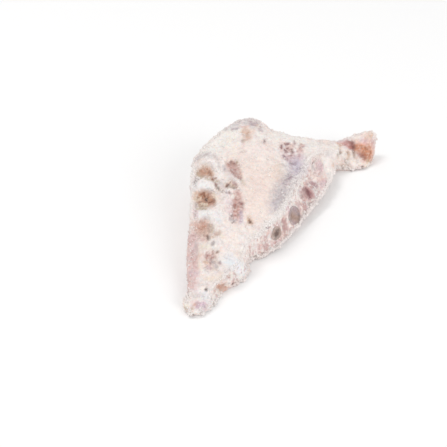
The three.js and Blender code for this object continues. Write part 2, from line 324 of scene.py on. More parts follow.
def mesh_object(name, verts, quads=None, tris=None, tint=None, salt=None, smooth_faces=True):
    """A mesh object in metres from points of the drawing frame in millimetres."""
    me = bpy.data.meshes.new(name)
    faces = []
    if quads is not None and len(quads):
        faces += quads.tolist()
    if tris is not None and len(tris):
        faces += tris.tolist()
    me.from_pydata(((verts + SHIFT) / 1000).tolist(), [], faces)
    if tint is not None:
        rgba = np.ones((len(verts), 4), np.float32)
        rgba[:, :3] = tint
        me.color_attributes.new("tint", "FLOAT_COLOR", "POINT").data.foreach_set("color", rgba.ravel())
    if salt is not None:
        rgba = np.ones((len(verts), 4), np.float32)
        rgba[:, :3] = salt[:, None]
        me.color_attributes.new("salt", "FLOAT_COLOR", "POINT").data.foreach_set("color", rgba.ravel())
    me.polygons.foreach_set("use_smooth", [smooth_faces] * len(me.polygons))
    me.update()
    obj = bpy.data.objects.new(name, me)
    bpy.context.scene.collection.objects.link(obj)
    return obj


def linear(rgb):
    c = np.asarray(rgb, float) / 255
    return np.where(c <= 0.04045, c / 12.92, ((c + 0.055) / 1.055) ** 2.4)


# ------------------------------------------------------------------ strokes on the surface
from mathutils import Vector
from mathutils.bvhtree import BVHTree

P0, ZONE = skin_grid()
ROWS, COLS = P0.shape[:2]
N0 = grid_normals(P0)
CENTRE = P0.reshape(-1, 3).mean(0)
if ((P0[ROWS // 2] - P0[ROWS // 2].mean(0)) * N0[ROWS // 2]).sum() < 0:
    N0 = -N0
FORM = BVHTree.FromPolygons(P0.reshape(-1, 3).tolist(), grid_faces(ROWS, COLS, True).tolist())


def anchor(px, py):
    """The point of the slab's surface that shows at a point of the picture, or the nearest to its line of sight."""
    start, along = sight(px, py)
    hit = FORM.ray_cast(Vector(start), Vector(along))[0]
    if hit is None:
        flat = P0.reshape(-1, 3) - start
        reach = flat @ along
        away = np.linalg.norm(flat - reach[:, None] * along, axis=1)
        near = away < away.min() + 1.5
        best = np.where(near, reach, 1e9).argmin()
        hit = P0.reshape(-1, 3)[best]
    return np.array(hit)


class Surface:
    """Points to be painted or shaped: their places, their picture places and their noises."""

    def __init__(self, P):
        self.P, self.uv = P, project(P)
        self.waver = noise(P, 5.0, 5) + 0.7 * noise(P, 2.4, 6) + 0.5 * noise(P, 1.3, 8)

    def stroke(self, marks, soft=0.5, waver=0.5, guard=6.0):
        """1 inside a stroke through marks (picture x, y, radius), 0 outside, with a wavering edge."""
        marks = [tuple(m) for m in marks]
        if len(marks) == 1:
            marks = marks * 2
        m = np.array(marks)
        room = m[:, 2].max() * (1 + soft) + 2.2 * waver + 1
        near = np.nonzero(((self.uv > m[:, :2].min(0) - room) & (self.uv < m[:, :2].max(0) + room)).all(1))[0]
        whole = np.zeros(len(self.P))
        if not len(near):
            return whole
        P, uv, wave = self.P[near], self.uv[near], self.waver[near]
        q, far = np.full(len(P), 1e9), np.full(len(P), 1e9)
        spots = [anchor(mark[0], mark[1]) for mark in marks]
        for (m, n, A, B) in zip(marks, marks[1:], spots, spots[1:]):
            a, b = np.array(m[:2]), np.array(n[:2])
            ab = b - a
            t = np.clip(((uv - a) @ ab) / max(ab @ ab, 1e-9), 0, 1)
            away = np.linalg.norm(uv - a - t[:, None] * ab, axis=1)
            size = m[2] + (n[2] - m[2]) * t
            q = np.minimum(q, (away + waver * wave) / size)
            place = A + t[:, None] * (B - A)
            far = np.minimum(far, np.linalg.norm(P - place, axis=1) / (guard + 2.4 * size))
        whole[near] = smooth((1 + soft - q) / (2 * soft)) * smooth((1.25 - far) / 0.5)
        return whole


INKS = {name: linear(rgb) for name, rgb in dict(
    white=(245, 239, 236), warm=(240, 221, 211), blue=(231, 235, 240), pink=(226, 192, 185), mauve=(214, 186, 194),
    violet=(192, 178, 196), grey=(186, 176, 178), rust=(178, 122, 90), brown=(134, 88, 66), dark=(84, 54, 48),
    red=(180, 118, 110), maroon=(118, 66, 70), plum=(152, 124, 136), orange=(216, 158, 132), bone=(226, 208, 194),
    marrow=(112, 92, 86), tan=(212, 178, 154), cream=(243, 229, 210), olive=(170, 150, 118), salmon=(214, 164, 144),
    rose=(206, 166, 160), lilac=(190, 186, 208), smoke=(206, 198, 198), russet=(150, 96, 82),
    ivory=(243, 240, 235), amber=(219, 151, 118),
    dusk=(189, 152, 149)).items()}
PALE_INKS = ("white", "blue", "cream", "warm", "ivory")

# ink, strength, softness, wavering, spot size in mm (0 for an even field), marks (picture x, y, radius)
FIELDS = [
    # ---- the broad fields of the upper side
    ("warm", 0.70, 0.9, 2.0, 0, [(250, 160, 14), (258, 186, 17), (250, 212, 13)]),
    ("warm", 0.60, 0.9, 2.0, 4, [(268, 176, 8), (272, 196, 8), (266, 214, 8)]),
    ("ivory", 0.85, 0.9, 2.0, 0, [(204, 152, 6), (214, 146, 8), (226, 138, 8), (236, 130, 5)]),
    ("cream", 0.45, 0.9, 2.0, 5, [(228, 140, 7), (236, 150, 8)]),
    ("ivory", 0.50, 0.9, 2.0, 4, [(262, 136, 4), (270, 140, 6), (312, 150, 6)]),
    ("ivory", 0.60, 0.9, 1.6, 0, [(259, 134, 3), (262, 138, 3.4), (274, 134, 4), (286, 137, 4), (304, 142, 5), (318, 146, 5)]),
    ("tan", 0.38, 0.9, 1.6, 0, [(277, 168, 6), (279, 178, 6)]),
    ("pink", 0.32, 0.9, 1.6, 0, [(262, 146, 6), (270, 147, 4)]),
    ("white", 0.70, 0.7, 1.2, 0, [(197, 185, 4.6), (204, 184, 4.8), (210, 187, 3.4)]),
    ("blue", 0.36, 0.7, 1.2, 0, [(197, 186, 5), (204, 185, 5), (209, 188, 3)]),
    ("white", 0.75, 0.7, 1.2, 0, [(203, 213.6, 4.8), (211, 213.6, 5), (218, 215, 5)]),
    ("blue", 0.40, 0.7, 1.2, 0, [(204, 214, 5), (212, 214, 5), (220, 217, 5)]),
    ("blue", 0.85, 0.8, 1.4, 0, [(230, 263, 5), (236, 265, 6), (241, 268, 6), (240, 274, 4)]),
    ("ivory", 0.70, 0.8, 1.2, 0, [(233, 277, 3.4), (239, 277, 3), (229, 280, 3)]),
    ("blue", 0.50, 0.8, 1.4, 0, [(226, 262, 4), (230, 258, 5)]),
    ("blue", 0.55, 0.8, 1.4, 0, [(205, 294, 4), (206, 300, 4)]),
    ("white", 0.80, 0.8, 1.2, 0, [(198, 312, 4), (208, 307, 5), (216, 299, 5), (220, 295, 3)]),
    ("warm", 0.55, 0.9, 1.6, 0, [(272, 178, 7), (273, 192, 7)]),
    ("ivory", 0.35, 0.9, 1.6, 5, [(228, 240, 10), (246, 250, 10)]),
    ("white", 0.75, 0.7, 1.4, 0, [(205, 161, 3), (213, 162, 4), (217, 168, 4)]),
    ("white", 0.60, 0.7, 1.4, 0, [(194, 166, 3), (193, 176, 2.4)]),
    # painted light: the left wall is lightened to white where it turns away from the light
    ("white", 0.75, 0.7, 0.8, 0, [(190.6, 160, 2.6), (190.4, 178, 2.6), (190.4, 200, 2.4), (189.6, 216, 2.2)]),
    # the violet hollow and the grey around it
    ("violet", 0.52, 0.9, 2.4, 0, [(295, 161, 8), (298, 168, 8), (294, 177, 6)]),
    ("lilac", 0.42, 0.9, 1.8, 0, [(296, 163, 7), (298, 171, 7)]),
    ("plum", 0.16, 0.9, 1.2, 2.6, [(294, 162, 6), (298, 170, 7)]),
    ("smoke", 0.74, 0.9, 2.4, 0, [(289, 181, 8), (282, 192, 10), (277, 204, 9)]),
    ("grey", 0.36, 0.9, 2.4, 0, [(289, 181, 8), (283, 192, 9), (276, 204, 6)]),
    ("violet", 0.20, 0.9, 2.2, 3.4, [(286, 186, 8), (276, 204, 7)]),
    ("grey", 0.45, 0.8, 1.6, 3, [(284, 188, 7), (277, 199, 7), (281, 206, 4)]),
    ("violet", 0.40, 0.8, 1.6, 3, [(275, 207, 5), (273, 213, 4)]),
    ("plum", 0.55, 0.7, 0.8, 0, [(291, 163.5, 1.6), (295, 164, 1.6)]),
    ("plum", 0.45, 0.7, 0.8, 2.4, [(290, 168, 2), (300, 168, 2.4)]),
    ("plum", 0.46, 0.9, 1.2, 2.4, [(291, 175, 3), (288, 179, 4.4), (284, 183, 4.4)]),
    ("plum", 0.14, 0.9, 0.8, 0, [(289, 177, 2.4), (285, 182, 2.8)]),
    ("plum", 0.55, 0.7, 0.8, 0, [(290, 178, 1.4), (298, 178, 1.2)]),
    ("grey", 0.58, 0.9, 0.8, 2.2, [(284, 190, 4.4), (279, 197, 4.4), (276, 205, 4.4)]),
    ("grey", 0.45, 0.7, 0.8, 0, [(283, 165, 1.6), (286, 166, 1.4)]),
    # the high ridge at the back
    ("smoke", 0.70, 0.8, 1.2, 0, [(226, 129, 2.5), (236, 125, 4), (246, 121.5, 5), (255, 122, 5), (261, 127.5, 2.6)]),
    ("mauve", 0.34, 0.9, 1.0, 2.4, [(262, 130, 2.2), (265.5, 134, 2.2), (266, 138, 2)]),
    ("plum", 0.28, 0.9, 1.0, 3, [(238, 124, 2.4), (246, 121, 2.8), (253, 121, 3.2), (258, 124, 3)]),
    ("plum", 0.55, 0.7, 0.8, 0, [(232, 129.5, 1.4), (238, 128, 1.4)]),
    ("plum", 0.50, 0.9, 0.6, 0, [(250.6, 123, 1.8), (254, 124.5, 1.8), (257, 123, 1.4)]),
    ("maroon", 0.22, 0.9, 0.6, 0, [(250.5, 127.5, 1.3), (254, 128.5, 1.2)]),
    ("tan", 0.30, 0.8, 0.8, 0, [(257.6, 125.4, 1.6), (260, 127, 1.4)]),
    ("plum", 0.38, 0.9, 0.6, 0, [(259, 129.5, 1.3), (262, 131, 1.2)]),
    ("grey", 0.30, 0.9, 0.8, 2.0, [(266, 132, 1.5), (266, 137, 1.4)]),
    ("pink", 0.60, 0.7, 0.6, 0, [(241, 127, 1.2), (248, 126.5, 1.2)]),
    ("tan", 0.66, 0.9, 1.2, 0, [(245, 130.6, 3.6), (249, 133, 4.2), (247, 137.6, 4)]),
    ("salmon", 0.26, 0.9, 1.2, 0, [(246, 132, 3.4), (247.4, 136, 3.4)]),
    ("rust", 0.20, 0.9, 1.0, 2.6, [(245, 133, 3), (247, 137, 3)]),
    ("dark", 0.40, 0.9, 0.4, 0, [(242.6, 140.8, 1.6)]),
    ("maroon", 0.65, 0.8, 0.4, 0, [(264.6, 141, 1.4)]),
    ("plum", 0.28, 0.8, 0.6, 0, [(264, 143, 2)]),
    ("russet", 0.34, 0.8, 0.5, 0, [(241, 152.2, 0.8), (246.4, 151.6, 0.8)]),
    ("tan", 0.45, 0.8, 0.6, 0, [(251.6, 178, 1.6)]),
    # the red place beyond the ridge
    ("pink", 0.46, 0.8, 1.6, 0, [(284, 147, 5), (292, 149, 6), (301, 151, 5)]),
    ("mauve", 0.45, 0.8, 1.2, 0, [(285, 155, 4), (292, 157, 4), (300, 156, 4)]),
    ("rose", 0.34, 0.9, 1.6, 0, [(284, 147, 4), (290, 149, 5), (289, 156, 4), (301, 147, 3)]),
    ("maroon", 0.50, 0.9, 0.8, 2.2, [(284, 146, 4), (290, 149, 5), (287, 156, 4), (300, 147, 3.4)]),
    ("maroon", 0.78, 0.8, 0.4, 0, [(281.6, 145.4, 1.0), (281.4, 148.2, 1.2)]),
    ("maroon", 0.70, 0.8, 0.4, 0, [(286, 144.4, 1.3), (288.6, 143.8, 1.2)]), ("maroon", 0.74, 0.8, 0.4, 0, [(287.6, 148.4, 1.2)]),
    ("maroon", 0.76, 0.8, 0.4, 0, [(284.4, 150, 1.0), (286.2, 151.6, 1.1)]),
    ("dark", 0.62, 0.9, 0.4, 0, [(291.4, 149.6, 1.2), (292.2, 151.6, 1.2)]), ("maroon", 0.55, 0.9, 0.4, 0, [(291, 155.4, 1.1)]),
    ("maroon", 0.60, 0.9, 0.4, 0, [(294.4, 141, 1.0), (294.6, 143.4, 1.0)]), ("russet", 0.50, 0.9, 0.4, 0, [(299.6, 147.6, 1.1)]),
    ("plum", 0.80, 0.9, 0.4, 0, [(283.4, 156, 1.3), (285.6, 158.2, 1.3)]), ("maroon", 0.45, 0.9, 0.4, 0, [(287.6, 159, 1.0)]),
    ("white", 0.80, 0.8, 0.4, 0, [(284.2, 146.6, 1.3)]), ("white", 0.85, 0.8, 0.4, 0, [(294.8, 149.6, 1.6)]), ("white", 0.80, 0.8, 0.4, 0, [(289.4, 153.6, 1.3)]),
    ("white", 0.70, 0.8, 0.4, 0, [(297.4, 146.4, 1.4)]), ("white", 0.70, 0.8, 0.4, 0, [(296, 154, 1.6)]), ("white", 0.70, 0.8, 0.4, 0, [(290.6, 140.6, 1.3), (283, 140.6, 1.3)]),
    ("red", 0.55, 0.9, 0.4, 0, [(301, 144.5, 1.2), (303.6, 145.6, 1.2)]), ("red", 0.42, 0.9, 0.4, 0, [(301, 150.4, 1.2)]),
    ("red", 0.36, 0.9, 0.5, 0, [(299, 155.6, 1.5)]), ("plum", 0.36, 0.9, 0.5, 0, [(294, 158, 1.4)]),
    ("grey", 0.40, 0.8, 0.8, 3, [(306, 147, 3), (316, 146, 4)]),
    ("pink", 0.30, 0.8, 1.2, 0, [(315, 156, 4), (319, 157, 3)]),
    # ---- chine joint one
    ("tan", 0.60, 0.8, 1.0, 0, [(200, 172, 4), (206, 171, 6), (211, 174, 4)]),
    ("rust", 0.46, 0.9, 1.0, 0, [(201, 172, 2.6), (204, 170, 3.2), (207, 170.6, 3.4), (210, 174, 2.8)]),
    ("brown", 0.28, 0.8, 0.6, 2.4, [(202, 172, 3), (207, 172, 4)]),
    ("brown", 0.60, 0.7, 0.5, 0, [(209.5, 171.5, 1.3), (210.5, 174.5, 1.3)]),
    # painted shade: olive along the lower edge of chine joint one, where the lip below meets it
    ("olive", 0.50, 0.9, 0.6, 0, [(197.6, 174, 1.8), (199.4, 176.6, 1.6), (203, 177.4, 1.3)]),
    ("rust", 0.34, 0.9, 1.0, 0, [(203.6, 174.4, 3), (207.5, 174.6, 3)]),
    # painted shade: the olive, brown, grey and dark strokes below follow the grooves under chine joint one
    ("olive", 0.45, 0.9, 0.5, 0, [(206, 178.5, 1.2), (212, 180.5, 1.3), (218, 181.5, 1.6)]),
    ("brown", 0.78, 0.7, 0.4, 0, [(212.5, 179, 1.0), (216, 178.2, 1.1)]),
    ("grey", 0.60, 0.8, 0.6, 0, [(197, 179, 1.8), (195, 182, 1.6), (193.5, 184.5, 1.3)]),
    ("brown", 0.60, 0.9, 0.6, 0, [(215.6, 184, 1.0), (216.6, 186, 1.0)]),
    ("dark", 0.66, 0.9, 0.3, 0, [(218, 188.3, 1.3)]),
    ("brown", 0.55, 0.9, 0.8, 1.8, [(214, 180, 2), (217, 186, 2), (220, 190, 2), (225, 192, 2), (232, 193, 2)]),
    ("plum", 0.40, 0.9, 0.5, 0, [(226, 191.8, 1.0), (231, 193.3, 1.1)]),
    # painted shadow: the grey and plum arc above chine joint one, where the lip of crust shades the surface
    ("grey", 0.50, 0.9, 0.9, 0, [(195, 161.5, 1.5), (200, 156.6, 2), (206, 154.2, 2.2), (213, 155.4, 2), (218, 159.5, 1.6)]),
    ("plum", 0.36, 0.9, 0.8, 3, [(197, 159, 1.5), (202, 155.6, 1.6), (208, 154.4, 1.6), (215, 157, 1.6)]),
    ("grey", 0.35, 0.8, 0.6, 0, [(218.8, 163, 1.3), (219, 168, 1.4)]),
    # ---- chine joint two
    ("tan", 0.70, 0.6, 0.8, 0, [(197.5, 196, 4.6), (204, 199, 8), (210, 201, 6)]),
    ("salmon", 0.34, 0.9, 1.2, 0, [(199, 198, 5), (206, 199, 7)]),
    ("orange", 0.30, 0.9, 1.2, 0, [(199, 198, 5), (206, 199, 7)]),
    ("cream", 0.45, 0.8, 0.8, 0, [(195.4, 196, 2.4), (196, 201, 2.4)]),
    ("olive", 0.30, 0.9, 0.8, 0, [(197, 199, 2.4)]),
    ("rust", 0.70, 0.8, 0.8, 0, [(202.6, 195.6, 4), (207, 199, 5), (211, 201, 4)]),
    ("olive", 0.42, 0.8, 0.8, 0, [(200, 206, 2.6), (206, 206, 3)]),
    ("brown", 0.72, 0.7, 0.4, 0, [(203.6, 192.5, 0.9), (205, 197, 1.0), (206.4, 200.5, 1.4)]),
    ("brown", 0.42, 0.8, 0.4, 0, [(200.4, 194, 0.8), (203, 199, 1.0), (206.4, 200.5, 1.0)]),
    ("brown", 0.60, 0.7, 0.4, 0, [(208.6, 193.5, 0.9), (207.4, 197, 1.0)]),
    ("dark", 0.72, 0.7, 0.4, 0, [(206.4, 199.4, 1.3), (206.6, 201.2, 1.4)]),
    ("brown", 0.70, 0.7, 0.4, 0, [(209, 202.5, 1.1), (213, 201.8, 1.9), (214.6, 200, 1.4)]),
    ("brown", 0.45, 0.8, 0.4, 0, [(198, 203, 0.9), (202, 201.5, 0.9)]),
    ("brown", 0.45, 0.8, 0.4, 0, [(200, 207, 0.9), (204, 203.5, 0.9)]),
    ("salmon", 0.50, 0.9, 0.8, 2.6, [(208, 204, 3), (211.6, 204.6, 2.6)]),
    ("russet", 0.34, 0.9, 0.6, 2.0, [(209.5, 204.5, 2), (212, 204.6, 2)]),
    ("grey", 0.55, 0.8, 0.5, 0, [(196, 204.5, 1.7), (196, 207, 1.6)]),
    ("cream", 0.70, 0.8, 0.5, 0, [(201.8, 203.8, 1.2), (206.5, 204.5, 1.2)]),
    ("cream", 0.55, 0.8, 0.5, 0, [(199, 199.5, 1.0), (201.5, 196.5, 0.9)]),
    ("cream", 0.60, 0.8, 0.6, 0, [(214, 194, 2), (217, 198, 2)]),
    ("olive", 0.65, 0.8, 0.4, 0, [(196.5, 209, 0.9), (206, 209, 0.9)]),
    ("mauve", 0.60, 0.8, 0.6, 0, [(195, 212, 2), (195.5, 216, 1.8)]),
    # ---- chine joint three
    ("salmon", 0.60, 0.8, 1.0, 0, [(194, 225, 4), (199, 226, 5), (204, 226, 6)]),
    ("tan", 0.46, 0.9, 1.0, 0, [(198, 233, 5), (205, 234, 6)]),
    ("pink", 0.40, 0.9, 1.0, 0, [(197, 229, 5), (202, 236, 5)]),
    ("rust", 0.35, 0.8, 0.8, 0, [(202, 222.5, 2.6), (205.5, 224, 2.8), (201, 228, 2.6)]),
    ("red", 0.36, 0.9, 0.8, 3.2, [(200, 229, 5), (204, 234, 5)]),
    ("russet", 0.20, 0.9, 0.5, 3.0, [(200, 231, 4), (206, 229, 5)]),
    ("grey", 0.34, 0.9, 0.9, 2.2, [(209, 225, 2), (211.6, 229, 2.2), (211, 234, 2)]),
    ("brown", 0.50, 0.9, 0.4, 0, [(208.8, 231, 1.4)]),
    ("olive", 0.40, 0.9, 0.5, 0, [(210, 225, 1.2), (212.4, 228.5, 1.3), (212, 232, 1.2)]),
    ("dark", 0.52, 0.9, 0.4, 0, [(207.6, 235.8, 1.1), (208, 238.3, 1.2)]),
    ("tan", 0.50, 0.9, 0.8, 0, [(213.5, 236, 2.4), (217, 233.5, 2.8), (220, 232, 2)]),
    ("grey", 0.30, 0.9, 1.0, 2.4, [(214, 235.4, 2.4), (219, 232.4, 2.4)]),
    ("russet", 0.30, 0.9, 0.5, 0, [(216, 234.5, 1.5), (218.6, 233.6, 1.4)]),
    ("pink", 0.55, 0.8, 0.5, 0, [(200, 239, 2), (206, 241, 1.6)]),
    ("grey", 0.44, 0.9, 0.9, 0, [(212, 244.5, 1.8), (214, 241.5, 1.8)]),
    ("cream", 0.60, 0.8, 0.6, 0, [(222, 237, 2.2)]),
    # ---- the second row of joints
    ("tan", 0.45, 0.9, 1.0, 0, [(230, 165, 4.4), (236, 167, 4.6), (239.6, 175, 3.4)]),
    ("rose", 0.72, 0.8, 1.2, 0, [(228.6, 166, 3.6), (233, 167.4, 5.2), (237, 173, 3.8), (239.5, 178, 2)]),
    ("red", 0.44, 0.8, 1.0, 2.2, [(229, 166, 3), (233, 168, 4.8), (237, 174, 3)]),
    ("russet", 0.30, 0.9, 0.8, 2.2, [(230, 166, 3), (234, 169, 4)]),
    ("russet", 0.56, 0.9, 0.8, 0, [(229.6, 163.6, 1.6), (232, 162.6, 2.0), (234.4, 164.4, 1.8)]),
    ("russet", 0.36, 0.9, 0.6, 2.4, [(230, 169, 2.4), (236, 171, 3.4)]),
    ("maroon", 0.48, 0.9, 0.4, 0, [(230.6, 161.6, 1.1)]), ("maroon", 0.44, 0.9, 0.4, 0, [(234, 163.6, 1.1)]),
    ("maroon", 0.42, 0.9, 0.5, 0, [(230.5, 170.5, 1.2), (233, 174, 1.2), (236, 176.5, 1.1), (240, 179, 1.0)]),
    ("grey", 0.36, 0.9, 0.8, 0, [(226, 171, 2.4), (230, 176, 2.2), (234, 179, 2)]),
    ("smoke", 0.85, 0.8, 0.6, 0, [(223.8, 166.5, 1.5), (225, 169.8, 1.5)]),
    ("plum", 0.40, 0.8, 0.6, 0, [(224.6, 168.6, 1.1)]),
    ("olive", 0.55, 0.8, 0.5, 0, [(237, 162, 1.4)]),
    ("grey", 0.50, 0.8, 0.5, 0, [(241, 165.5, 1.4)]),
    ("olive", 0.45, 0.9, 0.6, 0, [(241.5, 181, 1.6), (244, 184, 1.4)]),
    ("tan", 0.50, 0.9, 0.8, 0, [(226, 185, 2.6), (230, 183.4, 3), (235, 185.4, 2.6)]),
    ("olive", 0.22, 0.9, 0.5, 0, [(228, 186, 2.2), (234, 186.6, 2)]),
    ("russet", 0.70, 0.9, 0.9, 2.0, [(225.6, 187, 2.2), (228, 184.6, 2.6), (231, 182.4, 2.4), (235, 184, 2.4), (236, 187.6, 2)]),
    ("dark", 0.60, 0.9, 0.3, 0, [(226.8, 186.2, 1.1), (228.4, 184.6, 1.1)]),
    ("russet", 0.42, 0.9, 0.4, 0, [(233, 182, 1.2), (236, 184, 1.2)]),
    ("dark", 0.36, 0.9, 0.3, 0, [(231, 187, 1.0), (233.6, 188, 1.1)]),
    ("maroon", 0.45, 0.9, 0.3, 0, [(235.6, 187.6, 1.1)]),
    ("russet", 0.38, 0.8, 0.4, 0, [(213.4, 177, 1.0), (211.4, 178.8, 0.9), (214.6, 180, 1.0)]),
    ("brown", 0.45, 0.9, 0.3, 0, [(224.4, 191.2, 1.0)]), ("brown", 0.45, 0.9, 0.3, 0, [(229.6, 193, 1.0)]),
    ("russet", 0.50, 0.9, 0.3, 0, [(234, 193.4, 1.0)]),
    ("grey", 0.40, 0.9, 0.6, 0, [(221, 183, 1.8), (223, 187, 1.6)]),
    ("plum", 0.50, 0.8, 0.4, 0, [(233, 183, 1.2), (236, 184, 1.0)]),
    ("rose", 0.86, 0.9, 1.4, 0, [(238, 193, 2.8), (238, 200, 4.4), (237.4, 208, 5.4), (236, 216, 5.0)]),
    ("salmon", 0.26, 0.9, 1.0, 0, [(238, 198, 3), (237, 208, 4.4), (236.4, 215, 3.6)]),
    ("mauve", 0.38, 0.8, 1.0, 0, [(228, 196, 3), (228, 206, 3.4), (230, 214, 3)]),
    ("red", 0.42, 0.9, 1.0, 2.6, [(238, 193, 2), (236, 198, 3), (239, 203, 4), (236, 210, 5), (237, 215, 3)]),
    ("maroon", 0.20, 0.9, 0.6, 2.6, [(238, 200, 4), (236, 210, 5)]),
    ("maroon", 0.56, 0.9, 0.4, 0, [(240, 202.8, 1.1), (242.4, 204.4, 1.2)]),
    ("russet", 0.50, 0.9, 0.4, 0, [(234.2, 205.6, 1.4)]),
    ("dark", 0.40, 0.9, 0.4, 0, [(232, 214.8, 1.2)]),
    ("maroon", 0.50, 0.9, 0.4, 0, [(238.2, 214.8, 1.4)]),
    ("violet", 0.60, 0.9, 0.8, 0, [(241, 212, 1.6), (241.6, 217, 2), (241, 222, 1.8)]),
    ("grey", 0.70, 0.8, 0.5, 0, [(230, 219, 1.6), (233, 221, 1.6), (236, 220, 1.3)]),
    ("maroon", 0.55, 0.8, 0.4, 0, [(232.8, 222, 1.0)]),
    ("tan", 0.70, 0.9, 0.5, 0, [(248.6, 218, 2.6), (250, 222, 3.2)]),
    ("brown", 0.55, 0.9, 0.4, 0, [(249, 219.6, 1.1), (250, 222, 1.6), (252, 223.4, 1.0)]),
    ("dark", 0.50, 0.8, 0.3, 0, [(250, 222, 1.1)]),
    # ---- the sawn row of ribs
    ("pink", 0.54, 0.7, 1.0, 0, [(264, 246, 7), (282, 231, 8), (298, 212, 9), (310, 194, 9), (320, 180, 8)]),
    ("mauve", 0.52, 0.8, 1.2, 3.4, [(268, 244, 6), (286, 228, 7), (303, 208, 8), (318, 186, 8)]),
    ("rose", 0.55, 0.8, 0.8, 2.6, [(262, 250, 5), (268, 244, 6), (285, 230, 7), (303, 209, 8), (317, 190, 8)]),
    ("rose", 0.42, 0.9, 0.8, 0, [(282.6, 219, 2.2), (284.6, 227, 3.2), (285, 234, 2.6)]),
    ("rose", 0.34, 0.9, 0.8, 0, [(303, 203, 2.4), (305, 210, 2.4), (310.6, 202, 2)]),
    ("smoke", 0.60, 0.8, 0.8, 2.2, [(264, 247, 6), (284, 232, 7), (302, 212, 8), (318, 188, 8)]),
    ("plum", 0.30, 0.8, 0.8, 2.0, [(284, 226, 5), (302, 208, 6), (316, 188, 7)]),
    ("ivory", 0.70, 0.8, 0.5, 0, [(280.6, 219, 0.9), (281.6, 226, 0.9), (280.8, 233, 0.9)]),
    ("ivory", 0.35, 0.8, 0.5, 0, [(287.4, 226, 0.8), (288.6, 232, 0.8)]), ("ivory", 0.55, 0.8, 0.5, 0, [(301, 200, 0.9), (300.6, 209, 0.9)]),
    ("ivory", 0.55, 0.8, 0.5, 0, [(306, 212, 0.9), (309, 204, 0.9), (312, 197, 0.9)]), ("ivory", 0.60, 0.8, 0.5, 0, [(268, 238, 1.0), (270, 248, 1.0)]), ("ivory", 0.60, 0.8, 0.5, 0, [(315, 193, 1.3), (316, 199, 1.2)]),
    ("ivory", 0.60, 0.8, 0.5, 0, [(300.8, 186, 0.9), (300.6, 192, 0.9), (303, 199, 0.9)]), ("ivory", 0.60, 0.8, 0.5, 0, [(318, 182, 0.9), (319, 190, 0.9)]),
    ("white", 0.75, 0.6, 0.8, 0, [(258, 240, 3.4), (264, 229, 3), (273, 221, 3), (285, 207, 3.2), (296, 197, 3), (301, 184, 2.4)]),
    ("white", 0.50, 0.6, 0.8, 0, [(270, 250, 1.6), (285, 239.5, 1.6), (301, 222, 1.6), (313, 206, 2), (324, 190, 2.4), (331, 175, 3)]),
    ("white", 0.70, 0.7, 0.8, 0, [(325, 158, 3.4), (328, 168, 4), (330, 178, 2.6)]),
    ("tan", 0.30, 0.8, 0.8, 0, [(282.5, 218, 1.8), (284.5, 226, 2.8), (284, 236, 2.6)]),
    ("rose", 0.50, 0.9, 0.6, 0, [(283.0, 221, 1.5), (284.4, 227, 1.7)]),
    ("plum", 0.30, 0.9, 0.6, 0, [(282.8, 221, 1.5), (284.2, 227, 1.7)]),
    ("rose", 0.50, 0.9, 0.6, 0, [(286, 229, 1.5), (285.4, 235, 1.5)]),
    ("plum", 0.26, 0.9, 0.6, 0, [(286, 229, 1.4), (285.4, 235, 1.4)]),
    ("dusk", 0.45, 0.8, 0.6, 0, [(282.4, 219, 1.2), (284.2, 227, 1.6), (284.6, 233, 1.4)]),
    ("pink", 0.75, 0.8, 0.6, 0, [(289.4, 222.5, 1.3), (290.6, 227.5, 1.8)]),
    ("maroon", 0.35, 0.8, 0.5, 0, [(281, 222, 0.9), (282, 226, 0.9)]),
    ("mauve", 0.65, 0.8, 0.6, 0, [(288.4, 207, 2), (289, 212, 1.6)]),
    ("plum", 0.42, 0.8, 0.6, 0, [(304.4, 204, 1.8), (306, 208, 1.6)]),
    ("rose", 0.45, 0.9, 0.8, 0, [(303.6, 206, 2.4), (307, 212, 2.2)]),
    ("rose", 0.32, 0.8, 0.6, 0, [(301, 204, 2), (303, 211, 2.2)]),
    ("grey", 0.40, 0.8, 0.5, 0, [(303.8, 214, 1.5), (303.4, 218, 1.5)]),
    ("maroon", 0.45, 0.8, 0.5, 0, [(310.8, 204, 1.4), (312.6, 203, 1.3)]),
    ("tan", 0.50, 0.8, 0.5, 0, [(317.6, 200.6, 1.4)]),
    ("dusk", 0.40, 0.8, 0.6, 0, [(266, 238, 1.4), (267.4, 250, 1.6)]),
    ("rose", 0.30, 0.8, 0.6, 0, [(264, 232, 1.8), (265, 244, 2.2), (266, 252, 2.2)]),
    ("rose", 0.55, 0.9, 0.8, 0, [(306, 184, 3), (314, 186, 4)]),
    ("plum", 0.70, 0.9, 0.6, 0, [(308.6, 184.4, 1.8), (312, 184, 2.4), (315.4, 185.8, 2.4)]),
    ("maroon", 0.30, 0.9, 0.5, 0, [(310, 185.6, 1.6), (313.6, 186.6, 1.6)]),
    ("maroon", 0.30, 0.9, 0.6, 2.4, [(301, 186, 3), (303, 194, 3.4), (313, 199, 3)]),
    ("red", 0.42, 0.9, 0.8, 0, [(304, 190, 2.6), (306, 197, 3)]),
    ("grey", 0.35, 0.9, 0.8, 0, [(315, 191, 3), (317, 196, 2.4)]),
    ("plum", 0.72, 0.8, 0.4, 0, [(267, 228, 1.1), (269.6, 227, 1.2)]),
    ("plum", 0.55, 0.8, 0.5, 0, [(299.6, 190.4, 1.3), (301.4, 192, 1.1)]),
    ("maroon", 0.62, 0.8, 0.4, 0, [(301.4, 195, 1.1), (302, 197, 1.2)]),
    ("tan", 0.55, 0.8, 0.5, 0, [(304, 178.2, 1.1), (314, 178.2, 1.1)]),
    ("pink", 0.55, 0.8, 0.6, 0, [(314, 180, 2), (325, 180, 2.2)]),
    ("mauve", 0.55, 0.8, 0.6, 0, [(322, 186, 2.4), (325, 181, 2)]),
    ("white", 0.70, 0.7, 0.5, 0, [(299, 181, 1.4), (304, 179.4, 1.5), (312, 177, 1.2)]),
    ("grey", 0.24, 0.9, 0.8, 0, [(327, 154, 2.2), (332, 154.6, 2.2)]),
    # ---- the flap
